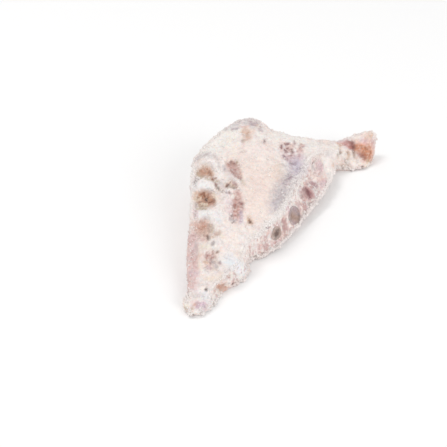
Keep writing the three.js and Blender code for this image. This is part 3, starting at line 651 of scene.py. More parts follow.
    ("mauve", 0.56, 0.9, 1.8, 0, [(193.4, 238, 4.6), (193, 258, 5.0), (192.4, 272, 5.2), (192.2, 287, 4.6)]),
    ("pink", 0.44, 0.9, 2.2, 0, [(194.6, 240, 5), (194.2, 262, 5.0), (193, 284, 4.6)]),
    ("white", 0.28, 0.9, 1.0, 4.2, [(193.4, 240, 5), (193.6, 262, 6), (192.4, 280, 5)]),
    ("rose", 0.56, 0.9, 1.6, 0, [(190.6, 236, 4.6), (190.6, 250, 6), (190.2, 264, 6), (189.4, 276, 5), (189.0, 288, 3.4)]),
    ("grey", 0.40, 0.9, 1.2, 0, [(195.8, 243, 2.6), (196, 250, 2.2)]),
    ("dusk", 0.26, 0.9, 1.2, 0, [(195.2, 256, 2.2), (194.6, 263, 2.2)]),
    ("mauve", 0.55, 0.9, 0.8, 0, [(194.6, 274, 3.0)]),
    ("violet", 0.40, 0.9, 0.8, 0, [(190.6, 272, 1.8)]),
    ("cream", 0.34, 0.9, 1.0, 0, [(199.8, 248, 1.5), (199.8, 268, 1.6)]),
    ("cream", 0.70, 0.8, 0.8, 0, [(202, 247, 2.4), (208, 246.6, 2.6)]),
    ("pink", 0.42, 0.9, 1.0, 0, [(204, 256, 4.4), (211, 257, 5.4), (209, 265, 4.4)]),
    ("red", 0.32, 0.9, 0.8, 2.2, [(205, 255, 4), (211, 256, 4.4), (210, 262, 3.4)]),
    ("red", 0.36, 0.9, 0.5, 0, [(208.4, 255.5, 1.6), (212, 257, 2), (214.6, 256.4, 1.6)]),
    ("maroon", 0.36, 0.9, 0.5, 0, [(210.8, 259, 1.2), (210.8, 263, 1.4)]),
    ("red", 0.40, 0.9, 0.4, 0, [(206.4, 252, 0.9), (206.6, 260, 0.9)]),
    ("red", 0.45, 0.9, 0.4, 0, [(212.6, 251, 0.9), (212.6, 258, 1.0)]),
    ("tan", 0.70, 0.8, 0.5, 0, [(204, 261.8, 1.4), (207, 262.4, 1.2)]),
    ("brown", 0.68, 0.8, 0.4, 0, [(216.6, 252.3, 1.2), (218.6, 251.6, 1.1)]),
    ("marrow", 0.40, 0.9, 0.5, 0, [(211.8, 245.2, 1.2), (213.4, 242.8, 1.2)]),
    ("plum", 0.62, 0.8, 0.4, 0, [(219.6, 263, 1.5)]),
    ("grey", 0.60, 0.8, 0.6, 0, [(213, 262.4, 1.8), (216.6, 266.6, 1.9)]),
    ("mauve", 0.60, 0.8, 0.6, 0, [(208.6, 268, 1.8), (211, 268, 1.5)]),
    ("grey", 0.34, 0.9, 0.8, 2.4, [(224, 259, 3), (231, 259, 3)]),
    ("violet", 0.38, 0.9, 0.6, 0, [(226.6, 272, 2)]),
    ("tan", 0.40, 0.9, 0.6, 0, [(220.4, 273, 2.4)]),
    ("olive", 0.24, 0.9, 0.6, 0, [(228, 276, 2)]),
    ("cream", 0.60, 0.8, 0.8, 0, [(208, 279, 2.6), (220, 278, 2.8)]),
    ("pink", 0.40, 0.9, 0.8, 0, [(226, 281.4, 1.8), (238, 281, 1.8)]),
    ("salmon", 0.66, 0.9, 1.2, 0, [(218, 286, 2.6), (224, 287, 3.6)]),
    ("amber", 0.36, 0.9, 1.0, 0, [(219, 286.4, 2.2), (224, 288, 2.8)]), ("tan", 0.22, 0.9, 1.0, 0, [(219, 286.4, 2.6), (224, 288, 3.2)]),
    ("rust", 0.28, 0.9, 0.8, 0, [(217.8, 285.6, 1.5), (222, 289.4, 2), (225, 287, 2)]),
    ("russet", 0.50, 0.9, 0.4, 0, [(226.2, 285.2, 1.6)]),
    # ---- small corrections of the broad tones
    ("pink", 0.16, 0.9, 2.0, 0, [(258, 178, 8), (257, 192, 8)]),
    ("grey", 0.52, 0.9, 1.2, 0, [(283.2, 190, 3.6), (280.4, 198, 3.2)]),
    ("brown", 0.07, 0.9, 1.2, 0, [(237, 199, 4), (237, 210, 5)]),
    ("grey", 0.08, 0.9, 1.6, 0, [(215, 275, 9)]), ("white", 0.28, 0.9, 2.0, 0, [(252, 150, 8), (262, 152, 7)]),
    ("salmon", 0.22, 0.9, 1.0, 0, [(205, 172, 5)]), ("salmon", 0.20, 0.9, 1.2, 0, [(202, 226, 6)]), ("white", 0.40, 0.9, 1.2, 0, [(308, 149, 4), (316, 151, 4)]),
    ("tan", 0.16, 0.9, 1.0, 0, [(200, 250, 3), (200, 266, 3)]),
    ("cream", 0.45, 0.9, 1.0, 0, [(345, 163, 4)]), ("warm", 0.50, 0.9, 1.0, 0, [(334, 152, 4), (336, 158, 4)]),
    ("white", 0.20, 0.9, 1.0, 0, [(334, 152, 4), (336, 158, 4)]), ("amber", 0.36, 0.9, 0.8, 0, [(361, 148, 4), (365, 156, 5)]), ("orange", 0.34, 0.9, 0.8, 0, [(364, 153, 4)]),
    ("red", 0.36, 0.9, 0.6, 0, [(352, 145, 2.6), (354, 148, 2)]), ("salmon", 0.30, 0.9, 0.6, 0, [(352, 146, 3)]), ("white", 0.45, 0.9, 0.8, 0, [(288.4, 203.4, 2.6)]), ("mauve", 0.34, 0.9, 0.8, 0, [(347, 142, 2.4), (352, 144, 2)]),
    ("tan", 0.50, 0.9, 0.6, 0, [(356.4, 158, 1.5), (356, 161, 1.2)]), ("tan", 0.50, 0.9, 0.8, 0, [(368.4, 162, 2.2)]),
    ("brown", 0.12, 0.9, 0.8, 0, [(364, 146.4, 3)]), ("grey", 0.34, 0.9, 0.8, 0, [(331, 142, 1.4), (338, 142, 1.4)]),
    ("smoke", 0.50, 0.9, 0.6, 0, [(341.6, 149.6, 1.8)]), ("cream", 0.30, 0.9, 0.8, 0, [(346, 158, 2.6), (339, 157, 2.6)]), ("ivory", 0.30, 0.9, 0.8, 0, [(325, 160, 4), (328, 168, 4)]),
    ("tan", 0.40, 0.9, 0.6, 0, [(216, 290, 2), (221, 293, 2)]),
    ("dark", 0.85, 0.8, 0.3, 0, [(206, 289.6, 1.5)]),
    ("grey", 0.40, 0.9, 0.4, 0, [(207, 284.4, 1.4)]),
    ("grey", 0.30, 0.9, 0.8, 0, [(193, 296, 2.4), (204, 296, 2.4)]),
    ("mauve", 0.92, 0.9, 1.0, 0, [(197, 305, 3.4), (203, 305, 4.2)]),
    ("plum", 0.16, 0.9, 0.8, 0, [(198, 306, 3), (203, 306, 3.4)]),
    ("violet", 0.38, 0.9, 0.6, 0, [(198, 305.4, 2.6), (203, 305, 2.4)]),
    ("rose", 0.24, 0.9, 1.0, 0, [(193.8, 300, 2.4), (198, 304, 3)]),
    ("salmon", 0.60, 0.8, 0.6, 0, [(194.4, 304.6, 1.9)]),
    ("tan", 0.62, 0.8, 0.5, 0, [(192.6, 308.6, 1.7)]),
    ("cream", 0.55, 0.8, 0.8, 0, [(186, 306, 2.4), (184, 310, 2)]),
    # ---- the tail
    ("white", 0.50, 0.8, 1.2, 0, [(334, 150, 5), (344, 158, 6), (356, 163, 4)]),
    ("cream", 0.50, 0.8, 1.2, 3, [(336, 150, 5), (352, 160, 5)]),
    ("white", 0.50, 0.8, 1.2, 0, [(333, 156, 5), (343, 159, 5)]),
    ("tan", 0.32, 0.8, 0.8, 2.4, [(344, 152, 4), (351, 156, 4)]),
    ("grey", 0.24, 0.9, 0.8, 0, [(329, 153, 2.6)]),
    # painted shade: tan lines in the creases between the tail's lumps
    ("tan", 0.50, 0.9, 0.6, 0, [(339.6, 146, 1), (340.4, 152, 1.2), (338, 158, 1)]), ("tan", 0.50, 0.9, 0.6, 0, [(347.6, 150, 1), (348.4, 156, 1.2), (346, 162, 1)]),
    # painted shade: salmon on the lower side of the tail
    ("salmon", 0.26, 0.9, 0.8, 0, [(340, 162, 2.6)]),
    # painted shade: tan in the hollow between the tail's lumps
    ("tan", 0.50, 0.8, 0.6, 0, [(347, 152, 1.8), (349, 153, 1.6)]),
    ("marrow", 0.60, 0.8, 0.4, 0, [(340, 152.4, 1.2)]),
    # painted shadow with a warm painted reflection from below: tan and russet along the tail's underside
    ("tan", 0.60, 0.8, 0.6, 0, [(334, 165.4, 2), (344, 166.4, 2)]),
    ("russet", 0.34, 0.8, 0.5, 0, [(337, 167, 1.2), (342, 167.4, 1.2)]),
    ("mauve", 0.60, 0.8, 0.8, 0, [(338, 142.6, 2.0), (344, 142.6, 3), (349, 145.5, 3.4)]),
    ("rose", 0.75, 0.8, 0.8, 0, [(341, 143.6, 1.8), (346, 143.6, 2.8), (350, 146.8, 3)]),
    ("red", 0.60, 0.9, 0.6, 0, [(343, 143.8, 1.5), (347.6, 144, 2.4), (350.6, 147, 2.6)]),
    ("tan", 0.60, 0.8, 0.5, 0, [(336.6, 143, 1.0), (341.6, 145, 1.1)]),
    ("maroon", 0.50, 0.8, 0.5, 0, [(349.4, 141.8, 1.6), (352.4, 143.6, 2.6), (354.4, 147, 2.4)]),
    ("russet", 0.48, 0.8, 0.8, 0, [(349, 142, 1.8), (352, 143.6, 3.4), (354, 147.6, 2.8)]),
    ("red", 0.40, 0.9, 0.8, 0, [(350, 142.6, 2.4), (353, 146, 3)]),
    ("brown", 0.14, 0.9, 0.6, 0, [(351.6, 143, 1.8), (353.8, 146, 2.4)]),
    ("rust", 0.50, 0.9, 0.6, 0, [(356.8, 147, 2), (356.6, 152, 1.8)]),
    ("dark", 0.50, 0.7, 0.4, 0, [(353.6, 147.4, 1.4)]),
    ("brown", 0.60, 0.8, 0.4, 0, [(353.4, 151, 1.0), (354.2, 157, 1.1)]),
    ("orange", 0.45, 0.8, 0.8, 0, [(357, 141, 2.6), (358.6, 146, 2)]),
    ("amber", 0.90, 0.9, 1.2, 0, [(360.6, 147, 4), (366, 149, 7), (369, 155, 6)]),
    ("orange", 0.40, 0.9, 1.2, 0, [(368, 139, 5), (372, 144, 4)]),
    ("rust", 0.46, 0.9, 1.0, 0, [(360, 149, 3.6), (366, 151, 5), (367.6, 157, 4)]),
    ("russet", 0.26, 0.9, 0.8, 3.4, [(361, 152, 4), (367, 154, 4)]),
    ("red", 0.60, 0.8, 0.6, 0, [(359.4, 154.4, 2), (363.6, 157.2, 2.4)]),
    ("brown", 0.45, 0.8, 0.5, 0, [(361, 154.4, 1.4), (365, 158.6, 1.6)]),
    ("brown", 0.50, 0.8, 0.5, 0, [(365.4, 147.6, 1.3), (367, 149.4, 1.2)]),
    ("olive", 0.60, 0.8, 0.5, 0, [(367.6, 161, 1.6)]),
    ("mauve", 0.50, 0.8, 0.8, 0, [(362, 140.4, 2.8), (366, 141.6, 2.4)]),
    ("tan", 0.60, 0.8, 0.8, 0, [(367.4, 136.6, 2.2), (371.4, 135, 2.6)]),
    ("mauve", 0.45, 0.8, 0.8, 0, [(372, 140.6, 2.2), (374, 146, 2.2)]),
    ("brown", 0.62, 0.8, 0.4, 0, [(362.6, 167, 1.0)]),
    ("cream", 0.60, 0.8, 0.6, 0, [(366, 165, 2.4), (368.6, 164, 2)]),
]


def paint(surface, tint, fields, salt=None):
    bare = np.zeros(len(surface.P))
    break_up = 0.9 + 0.45 * noise(surface.P, 2.6, 60) + 0.3 * noise(surface.P, 1.5, 61)
    for k, (ink, strength, soft, waver, spots, marks) in enumerate(fields):
        m = surface.stroke(marks, soft, waver) * strength
        big = max(mark[2] for mark in marks)
        if big > 1.9:
            m = np.clip(m * (1 + (break_up - 1) * min(1, (big - 1.4) / 2)), 0, 1)
        if spots:
            m = m * smooth((noise(surface.P, spots, 40 + k) + 0.05) / 0.35)
        tint += (INKS[ink] - tint) * m[:, None]
        if ink in PALE_INKS:
            bare *= 1 - 0.5 * m
        else:
            bare = np.maximum(bare, m)
        if salt is not None and ink not in PALE_INKS:
            salt *= 1 - 0.6 * m
    return bare


def skin_tint(P, redder):
    """The colour of salted flesh before its marks are painted, redder where `redder` is high."""
    mottle, fine = fbm(P, 11, 21, 3), fbm(P, 3.2, 22, 2)
    out = np.tile(INKS["white"], (len(P), 1))
    out += (INKS["warm"] - out) * (smooth(0.5 + 0.9 * mottle + 0.35 * fine) * 0.62)[:, None]
    out += (INKS["mauve"] - out) * (smooth((fbm(P, 8, 26, 3) - 0.05) / 0.5) * 0.22)[:, None]
    out += (INKS["cream"] - out) * (smooth((fbm(P, 9, 27, 3) - 0.10) / 0.5) * 0.30)[:, None]
    out += (INKS["pink"] - out) * (smooth((fbm(P, 7, 23, 3) - 0.1) / 0.5) * 0.26)[:, None]
    out += (INKS["smoke"] - out) * (smooth((noise(P, 5.5, 29) + 0.5 * noise(P, 2.8, 30) - 0.05) / 0.5) * 0.30)[:, None]
    out += (INKS["pink"] - out) * (smooth((noise(P, 4.6, 34) + 0.5 * noise(P, 2.4, 35) - 0.10) / 0.5) * 0.26)[:, None]
    out += (INKS["pink"] - out) * (redder * np.clip(0.5 + 0.5 * fbm(P, 9, 24, 2), 0, 1))[:, None]
    out += (INKS["red"] - out) * (redder * smooth((fbm(P, 6, 28, 3) - 0.12) / 0.4) * 0.35)[:, None]
    return out


def weather(P, tint, bare, dusty=0.28):
    """Small unevenness and dusty salt over the bare places."""
    a, b, c = noise(P, 1.8, 71), noise(P, 3.4, 72), noise(P, 1.2, 73)
    tint *= (1 + bare * (0.26 * a + 0.20 * b) + (1 - bare) * (0.040 * a + 0.045 * b))[:, None]
    dust = smooth((noise(P, 2.2, 74) + 0.5 * c - 0.22) / 0.35) * dusty * bare
    tint += (INKS["white"] - tint) * dust[:, None]
    return np.clip(tint * 0.975, 0.015, 0.97)


# ------------------------------------------------------------------ the slab's relief
def bone_spot(P):
    """How near points lie to the chine bones: distance in bone radii (1 at the rim), and the nearest bone's number."""
    q, who = np.full(len(P), 9.0), np.zeros(len(P), int)
    for k, b in enumerate(CHINE):
        dx, dy = P[:, 0] - b["x"], P[:, 1] - b["y"]
        ang = np.arctan2(dy / b["ry"], dx / b["rx"])
        lobe = 1 + 0.06 * np.cos(3 * ang + 6 * b["turn"]) + 0.04 * np.cos(5 * ang + 1)
        r = np.hypot(dx / b["rx"], dy / b["ry"]) / lobe
        near = r < q
        q, who = np.where(near, r, q), np.where(near, k, who)
    return q, who


# where the sawn ribs show in the picture: centre, half width, half height, lean of the long axis to the right
OVALS = {"rib_bone_1": (276.0, 233.4, 4.3, 7.3, 0.32), "rib_bone_2": (294.0, 215.6, 5.6, 9.4, 0.06),
         "rib_bone_3": (308.0, 193.2, 4.4, 7.2, -0.62), "rib_bone_4": (317.5, 168.0, 5.8, 8.8, -0.14)}


def oval_axes(name):
    x, y, wide, high, lean_by = OVALS[name]
    return (np.array([x, y]), np.array([math.cos(lean_by), math.sin(lean_by)]) * wide,
            np.array([math.sin(lean_by), -math.cos(lean_by)]) * high)


def oval_spot(P, uv):
    """How near points lie to the sawn ribs as they show: distance in radii of the oval, 1 at its rim."""
    q = np.full(len(P), 9.0)
    for name in OVALS:
        c, across, upright = oval_axes(name)
        d = uv - c
        r = np.hypot(d @ across / (across @ across), d @ upright / (upright @ upright))
        r = np.where(np.linalg.norm(P - anchor(*c), axis=1) < 26, r, 9.0)
        q = np.minimum(q, r)
    return q


C = np.broadcast_to(np.arange(COLS), (ROWS, COLS)).ravel()
R = np.broadcast_to(np.arange(ROWS)[:, None], (ROWS, COLS)).ravel()
EDGES = np.cumsum(list(ZONES.values()))               # where left, top, sawn, under and ground end
flat_P, flat_N = P0.reshape(-1, 3), N0.reshape(-1, 3)
form = Surface(flat_P)

# how near each point is to a rim of the slab: its shoulder, the rims of the sawn face and the two ends
face_high = np.linalg.norm(P0[:, EDGES[2]] - P0[:, EDGES[1]], axis=1)
thick_edge = np.repeat(np.clip((face_high - 5) / 12, 0.2, 1), COLS)   # less where the sawn side is low
rim_near = np.maximum.reduce([
    np.exp(-((C - EDGES[0]) / 5.0) ** 2), np.exp(-((C - EDGES[1]) / 5.0) ** 2) * thick_edge,
    np.exp(-((C - EDGES[2]) / 4.0) ** 2) * 1.2 * thick_edge, np.exp(-((R) / 7.0) ** 2), np.exp(-((ROWS - 1 - R) / 7.0) ** 2)])
lying = smooth((4 - flat_P[:, 2]) / 4)               # the side that the slab lies on

# how thick the salt lies, and how smooth the surface is
salt = 0.55 + 0.55 * fbm(flat_P, 16, 11, 3) + 0.25 * rim_near
at_saw_face = ((C >= EDGES[1]) & (C < EDGES[2])).astype(float)
salt *= 1 - 0.35 * at_saw_face
salt = np.clip(salt, 0.05, 1) * (1 - 0.6 * lying)
paint(form, np.ones((len(flat_P), 3)), FIELDS, salt)
calm = form.stroke([(250, 158, 12), (258, 184, 15), (248, 212, 11)], 0.9, 2.0)

relief = 0.85 * fbm(flat_P, 15, 1, 2) + 0.70 * fbm(flat_P, 6.5, 2, 2) * (1 - 0.5 * calm)
d1, d2, who = cells(flat_P, 4.2, 3)
relief += salt * (1 - 0.6 * calm) * 0.80 * smooth((0.8 - d1) / 0.6) * (0.3 + 0.7 * who)
d1, d2, who = cells(flat_P, 2.3, 4)
relief += salt * (1 - 0.5 * calm) * 0.35 * smooth((0.7 - d1) / 0.5)
relief += 0.16 * noise(flat_P, 1.4, 7)
relief += rim_near * (1.5 * np.abs(fbm(flat_P, 5, 8, 2)) + 0.7 * noise(flat_P, 2.8, 9))
foot_rim = np.exp(-((C - EDGES[2] + 1) / 5.0) ** 2) * thick_edge
relief += foot_rim * (1.2 * np.abs(noise(flat_P, 5.0, 12)) + 0.7 * noise(flat_P, 2.8, 13))
face = smooth((C - EDGES[1] - 2) / 6.0) * smooth((EDGES[2] - C) / 6.0)
relief += face * (0.45 * noise(flat_P * np.array([1, 1, 0.35]), 2.6, 14) + 0.35 * fbm(flat_P, 6, 15, 2))
# the lower, outer side draws in a little
outer = smooth((C - EDGES[1] + 18 * (1 - thick_edge)) / (18.0 + 18 * (1 - thick_edge))) * (C < EDGES[3] + 10)
relief -= 0.55 + 1.5 * outer + 0.5 * rim_near
relief -= 1.6 * outer * smooth((70 - R) / 30)

# grooves (-) and ridges (+): height in mm, softness, marks (picture x, y, radius)
CARVED = [
    # the lips of crust between the chine joints
    (1.9, 0.35, [(196, 187, 4.5), (202, 184, 5.2), (209, 187, 4.2), (214, 191, 2.6)]),
    (1.8, 0.35, [(201, 215, 4.2), (208, 215, 5.0), (216, 216, 5.0), (222, 218, 3.4)]),
    (1.3, 0.40, [(197, 162, 3.4), (205, 160.5, 3.6), (213, 162, 3.6), (217, 168, 3)]),
    (1.0, 0.50, [(192.6, 165, 2.0), (192, 180, 2.2), (192, 200, 2.0), (191, 216, 2.0)]),
    (1.1, 0.50, [(204, 246.5, 3), (210, 246, 2.6)]),
    # hollows of the chine joints
    (-1.5, 0.6, [(200, 174, 4), (206, 172, 5), (210, 175, 3.4)]),
    (-1.4, 0.6, [(198, 199, 4), (206, 200, 6), (212, 202, 4)]),
    (-1.3, 0.7, [(199, 228, 5), (206, 231, 6)]),
    (-1.6, 0.6, [(196.5, 179, 1.8), (194, 184, 1.4)]),
    (-1.8, 0.6, [(213, 179, 1.4), (218, 181, 1.8)]),
    (-2.4, 0.6, [(215.6, 184, 1.2), (216.6, 186, 1.2), (218, 188.4, 1.7)]),
    (-0.9, 0.6, [(219.5, 190.5, 1.3), (222, 192, 1.3)]), (-1.0, 0.6, [(226, 192.6, 1.2)]), (-1.0, 0.6, [(230.4, 193.2, 1.2)]),
    (0.9, 0.6, [(221, 187, 1.6), (226, 189.6, 1.6)]), (0.8, 0.6, [(228, 196, 2), (222, 195, 1.6)]),
    (-2.2, 0.6, [(207.6, 235.8, 1.5), (208, 238.3, 1.7)]), (-1.3, 0.6, [(213.5, 236, 1.6), (219, 233, 2)]),
    # the second row
    (-2.5, 0.6, [(226.4, 186, 1.7), (228.6, 184.8, 1.6)]), (-2.1, 0.6, [(231.8, 186, 1.5), (234, 187.4, 1.6)]),
    (1.0, 0.6, [(228, 189.6, 1.3), (236, 190, 1.3)]),
    (-1.7, 0.7, [(228, 164, 3), (234, 166, 4.4), (238, 172, 3), (240, 178, 1.8)]),
    (1.0, 0.6, [(228, 174, 2.6), (233, 179, 2.4)]),
    (-1.2, 0.8, [(238, 196, 3), (238, 208, 4.4), (235, 217, 4)]),
    (-1.6, 0.7, [(243, 204, 1.7)]), (-1.5, 0.7, [(234.6, 206, 1.6)]), (-1.5, 0.7, [(231.6, 214.6, 1.5)]),
    (-1.5, 0.7, [(238, 214.8, 1.5)]), (-1.4, 0.7, [(232.8, 222, 1.4)]), (-2.0, 0.6, [(250, 222, 1.9)]),
    (-1.0, 0.6, [(241.4, 212, 1.2), (241, 221, 1.4)]),
    (0.9, 0.7, [(226, 200, 4), (226, 210, 4)]),
    # the ridge and the red place
    (-1.5, 0.7, [(242.6, 141, 1.7)]), (-1.5, 0.7, [(264.6, 141, 1.6)]), (-0.9, 0.7, [(244, 133, 3.4), (246, 138, 3.6)]),
    (-1.1, 0.7, [(251, 123.5, 1.8), (255, 124.5, 1.6)]), (-1.0, 0.7, [(258, 129.6, 1.4), (262, 131.4, 1.4)]),
    (-1.1, 0.7, [(281.5, 147.5, 1.8)]), (-1.3, 0.7, [(287, 144, 2), (287, 150, 2)]), (-1.5, 0.7, [(291.8, 151.6, 1.9)]),
    (-1.1, 0.7, [(284, 156.5, 1.9), (287.5, 158.5, 1.6)]), (-1.0, 0.7, [(300, 144.5, 1.6), (303, 145.5, 1.6)]),
    (-0.9, 0.8, [(292, 163.5, 2), (295, 164, 1.8)]), (-1.0, 0.8, [(289, 174, 1.8), (286, 182, 2.4)]),
    (-1.3, 0.9, [(296, 162, 6), (298, 170, 6)]),
    # the flap
    (-1.5, 0.7, [(219.6, 263, 1.6)]), (-1.4, 0.7, [(212, 245, 1.5)]), (-1.4, 0.7, [(217.4, 252, 1.5)]),
    (-1.3, 0.7, [(210.8, 259.6, 1.6), (211, 263, 1.7)]), (-0.9, 0.8, [(206, 256, 3), (212, 258, 3.4)]),
    (-1.1, 0.8, [(218, 286, 2), (223, 288.6, 2.6), (226, 285.4, 2.2)]), (-1.8, 0.7, [(206, 289.6, 1.8)]),
    (1.4, 0.8, [(234, 265, 6), (241, 269, 5)]), (0.9, 0.7, [(222, 281, 3), (236, 281, 3)]),
    (-1.5, 0.9, [(184, 314, 2.4), (190, 318, 3.4), (197, 320, 2.6)]), (-1.2, 0.8, [(209, 315, 2.4), (217, 308, 2.4), (222, 299, 2)]),


    (0.7, 0.7, [(199.4, 248, 1.6), (199.4, 268, 1.8)]),
    (-1.0, 0.8, [(186, 297, 2.4), (187.4, 291, 2.2)]),
    # the sawn side
    (-1.0, 0.7, [(299.6, 190.4, 1.4), (302, 197, 1.5)]), (-1.3, 0.7, [(268.4, 227.6, 1.4)]),
    (-0.9, 0.7, [(303.4, 214, 1.6), (303, 218, 1.6)]), (-0.9, 0.8, [(284, 221, 1.6), (285, 234, 1.8)]),
    (-0.8, 0.7, [(304, 178.2, 1.2), (314, 178.2, 1.2)]), (0.9, 0.8, [(304, 175, 1.4), (316, 174.6, 1.4), (326, 175, 1.4)]),
    (-1.1, 0.7, [(311, 204, 1.6), (318, 200.4, 1.5)]),
    # the tail
    (1.6, 0.8, [(371, 133, 2.4), (374.6, 138, 2)]), (-0.8, 0.8, [(377, 157, 3), (373.6, 165, 2)]),
    (1.2, 0.8, [(340, 166, 3), (352, 167, 3), (364, 167, 3)]),
    (1.4, 0.6, [(335, 149, 4)]), (1.5, 0.6, [(344, 155, 3.6)]), (1.5, 0.6, [(354, 163.6, 4)]), (1.2, 0.6, [(361, 162, 3)]), (1.2, 0.6, [(340, 163, 3)]),
    (-1.5, 0.6, [(339.8, 146, 1.2), (340.4, 152, 1.3), (338, 158, 1.2)]), (-1.6, 0.6, [(348.6, 152, 1.2), (348.8, 158, 1.3), (346.4, 166, 1.4)]), (-1.2, 0.6, [(357.6, 160, 1.2), (358.4, 167, 1.2)]),
    (-1.6, 0.7, [(340, 152.4, 1.6)]), (-1.4, 0.7, [(347.6, 152.6, 1.8)]), (-1.6, 0.6, [(353.6, 150, 1.5), (354.4, 158, 1.5)]),
    (-2.0, 0.6, [(352.6, 143, 1.8), (354, 147, 2.2)]), (1.4, 0.6, [(357, 142, 2), (358.4, 147, 1.8)]),
    (-1.5, 0.7, [(361, 155, 2.6), (365, 157, 2.4)]), (1.2, 0.7, [(368, 152, 2.4)]), (1.2, 0.7, [(366, 165, 2)]),
    (-1.8, 0.7, [(362.6, 167, 1.4)]), (-1.6, 0.7, [(347, 168, 1.5)]), (-1.6, 0.8, [(337, 167.4, 3)]),
]
for high, soft, marks in CARVED:
    relief += high * form.stroke(marks, soft, 0.3)

# the rims that fall a little short of the form
TRIMMED = [(2.6, [(272, 128, 3), (284, 132, 4), (300, 137, 4), (318, 141, 3)]), (1.6, [(240, 117, 3), (250, 115.4, 3.4), (256, 117, 3)]),
           (2.8, [(342, 136, 3.0), (352, 135, 3.6), (360, 133.6, 3.2)])]
sunk = np.zeros(len(flat_P))
for depth, marks in TRIMMED:
    sunk = np.maximum(sunk, depth * form.stroke(marks, 0.8, 0.3, 12.0))

bone_q, _ = bone_spot(flat_P)
bone_q = bone_q + 0.10 * form.waver
on_top = (C >= 20) & (C < EDGES[1])
relief = np.where(on_top, relief * np.clip(0.35 + (bone_q - 0.75) / 0.5, 0.35, 1)
                  - 1.2 * smooth((1.05 - bone_q) / 0.30) + 0.35 * np.exp(-((bone_q - 1.18) / 0.14) ** 2), relief)
rib_q = oval_spot(flat_P, form.uv)
at_saw = (C >= EDGES[0] + 60) & (C < EDGES[3])
relief = np.where(at_saw, relief * np.clip(0.15 + (rib_q - 0.9) / 0.5, 0.15, 1)
                  - 1.6 * smooth((1.06 - rib_q) / 0.16) + 0.5 * np.exp(-((rib_q - 1.20) / 0.12) ** 2), relief)
relief = relief * (1 - 0.8 * lying)

ends = np.minimum(R, ROWS - 1 - R)
relief *= smooth((ends + 1) / 6.0)
P1 = flat_P + flat_N * relief[:, None]
# the foot follows the face where the face is drawn in, and is a little ragged
guide = EDGES[2] - 7
drawn = (P1 - flat_P).reshape(ROWS, COLS, 3)
follow = (smooth((C - guide) / 6.0) * smooth((EDGES[3] + 14 - C) / 14.0) * smooth((80 - R) / 16.0) * (C >= guide)).reshape(ROWS, COLS)[:, :, None]
drawn[:, :, :2] += (drawn[:, guide:guide + 1, :2] - drawn[:, :, :2]) * follow
drawn[:, :, 2:] *= 1 - follow
P1 = flat_P + drawn.reshape(-1, 3)
level = flat_N * np.array([1, 1, 0])
level /= np.maximum(np.linalg.norm(level, axis=1), 0.3)[:, None]
ragged = np.exp(-((C - EDGES[2] + 2) / 6.0) ** 2) * smooth((ends - 4) / 26.0)
P1 += level * (ragged * (2.3 * noise(flat_P, 4.6, 91) + 1.4 * noise(flat_P, 2.3, 92)))[:, None]
P1[:, 2] -= sunk * smooth(flat_P[:, 2] / 10)
# the near corner of the flap is cut off aslant
corner = np.exp(-((flat_P[:, 0] + 48) / 10) ** 2 - ((flat_P[:, 1] - 19) / 13) ** 2)
P1[:, 1] += 8.5 * corner
# the outline steps in where the flap begins
step = np.exp(-((form.uv[:, 0] - 254) / 6.0) ** 2 - ((form.uv[:, 1] - 263.5) / 5.0) ** 2)
P1[:, 0] -= 4.5 * step
P1[:, 2] = np.maximum(P1[:, 2], 0.0)
slab = Surface(P1)

# ------------------------------------------------------------------ the slab's colours
side = np.where(C < EDGES[0], smooth((EDGES[0] - 4 - C) / 16.0), smooth((C - EDGES[1]) / 8.0) * (0.4 + 0.6 * thick_edge))
tint = skin_tint(P1, np.clip(0.38 * side + 0.45 * lying, 0, 1))
bare = paint(slab, tint, FIELDS)
# painted shade: the tint is darkened where the relief lies low, in the hollows and along the drawn-in lower side
low = np.clip(-(relief + 0.55 + 1.5 * outer) / 2.4, 0, 1)
tint *= (1 - 0.12 * low)[:, None]
# thin pale rims round the sawn ribs
ring = np.where(at_saw, np.exp(-((rib_q - 1.12) / 0.09) ** 2), 0) * (slab.uv[:, 0] < 301)
tint += (INKS["white"] - tint) * (0.60 * ring)[:, None]
# the grain of the sawn face, across its height
streak_a = noise(P1 * np.array([1, 1, 0.4]), 2.9, 81) + 0.4 * noise(P1, 1.6, 82)
streak_b = noise(P1 * np.array([1, 1, 0.4]), 3.4, 83) + 0.4 * noise(P1, 1.8, 84)
on_face = face * thick_edge * smooth((324 - slab.uv[:, 0]) / 10)
tint += (INKS["dusk"] - tint) * (on_face * 0.70 * smooth((streak_a - 0.08) / 0.35))[:, None]
tint += (INKS["ivory"] - tint) * (on_face * 0.62 * smooth((streak_b - 0.12) / 0.35))[:, None]
tint = weather(P1, tint, bare)
crust = np.clip(salt, 0, 1)

# ------------------------------------------------------------------ materials
def new_material(name):
    mat = bpy.data.materials.new(name)
    mat.use_nodes = True
    tree = mat.node_tree
    tree.nodes.clear()
    return mat, tree


def node(tree, kind, **inputs):
    n = tree.nodes.new(kind)
    for key, value in inputs.items():
        n.inputs[key.replace("_", " ")].default_value = value
    return n


def ramp(tree, source, stops):
    n = tree.nodes.new("ShaderNodeValToRGB")
    while len(n.color_ramp.elements) < len(stops):
        n.color_ramp.elements.new(0.5)
    for e, (at, v) in zip(n.color_ramp.elements, stops):
        e.position, e.color = at, (v, v, v, 1) if np.isscalar(v) else (*v, 1)
    tree.links.new(source, n.inputs[0])
    return n.outputs[0]


def blend(tree, kind, factor, a, b):
    n = tree.nodes.new("ShaderNodeMix")
    n.data_type, n.blend_type = "RGBA", kind
    for sock, value in ((n.inputs[0], factor), (n.inputs[6], a), (n.inputs[7], b)):
        if isinstance(value, bpy.types.NodeSocket):
            tree.links.new(value, sock)
        else:
            sock.default_value = value
    return n.outputs[2]


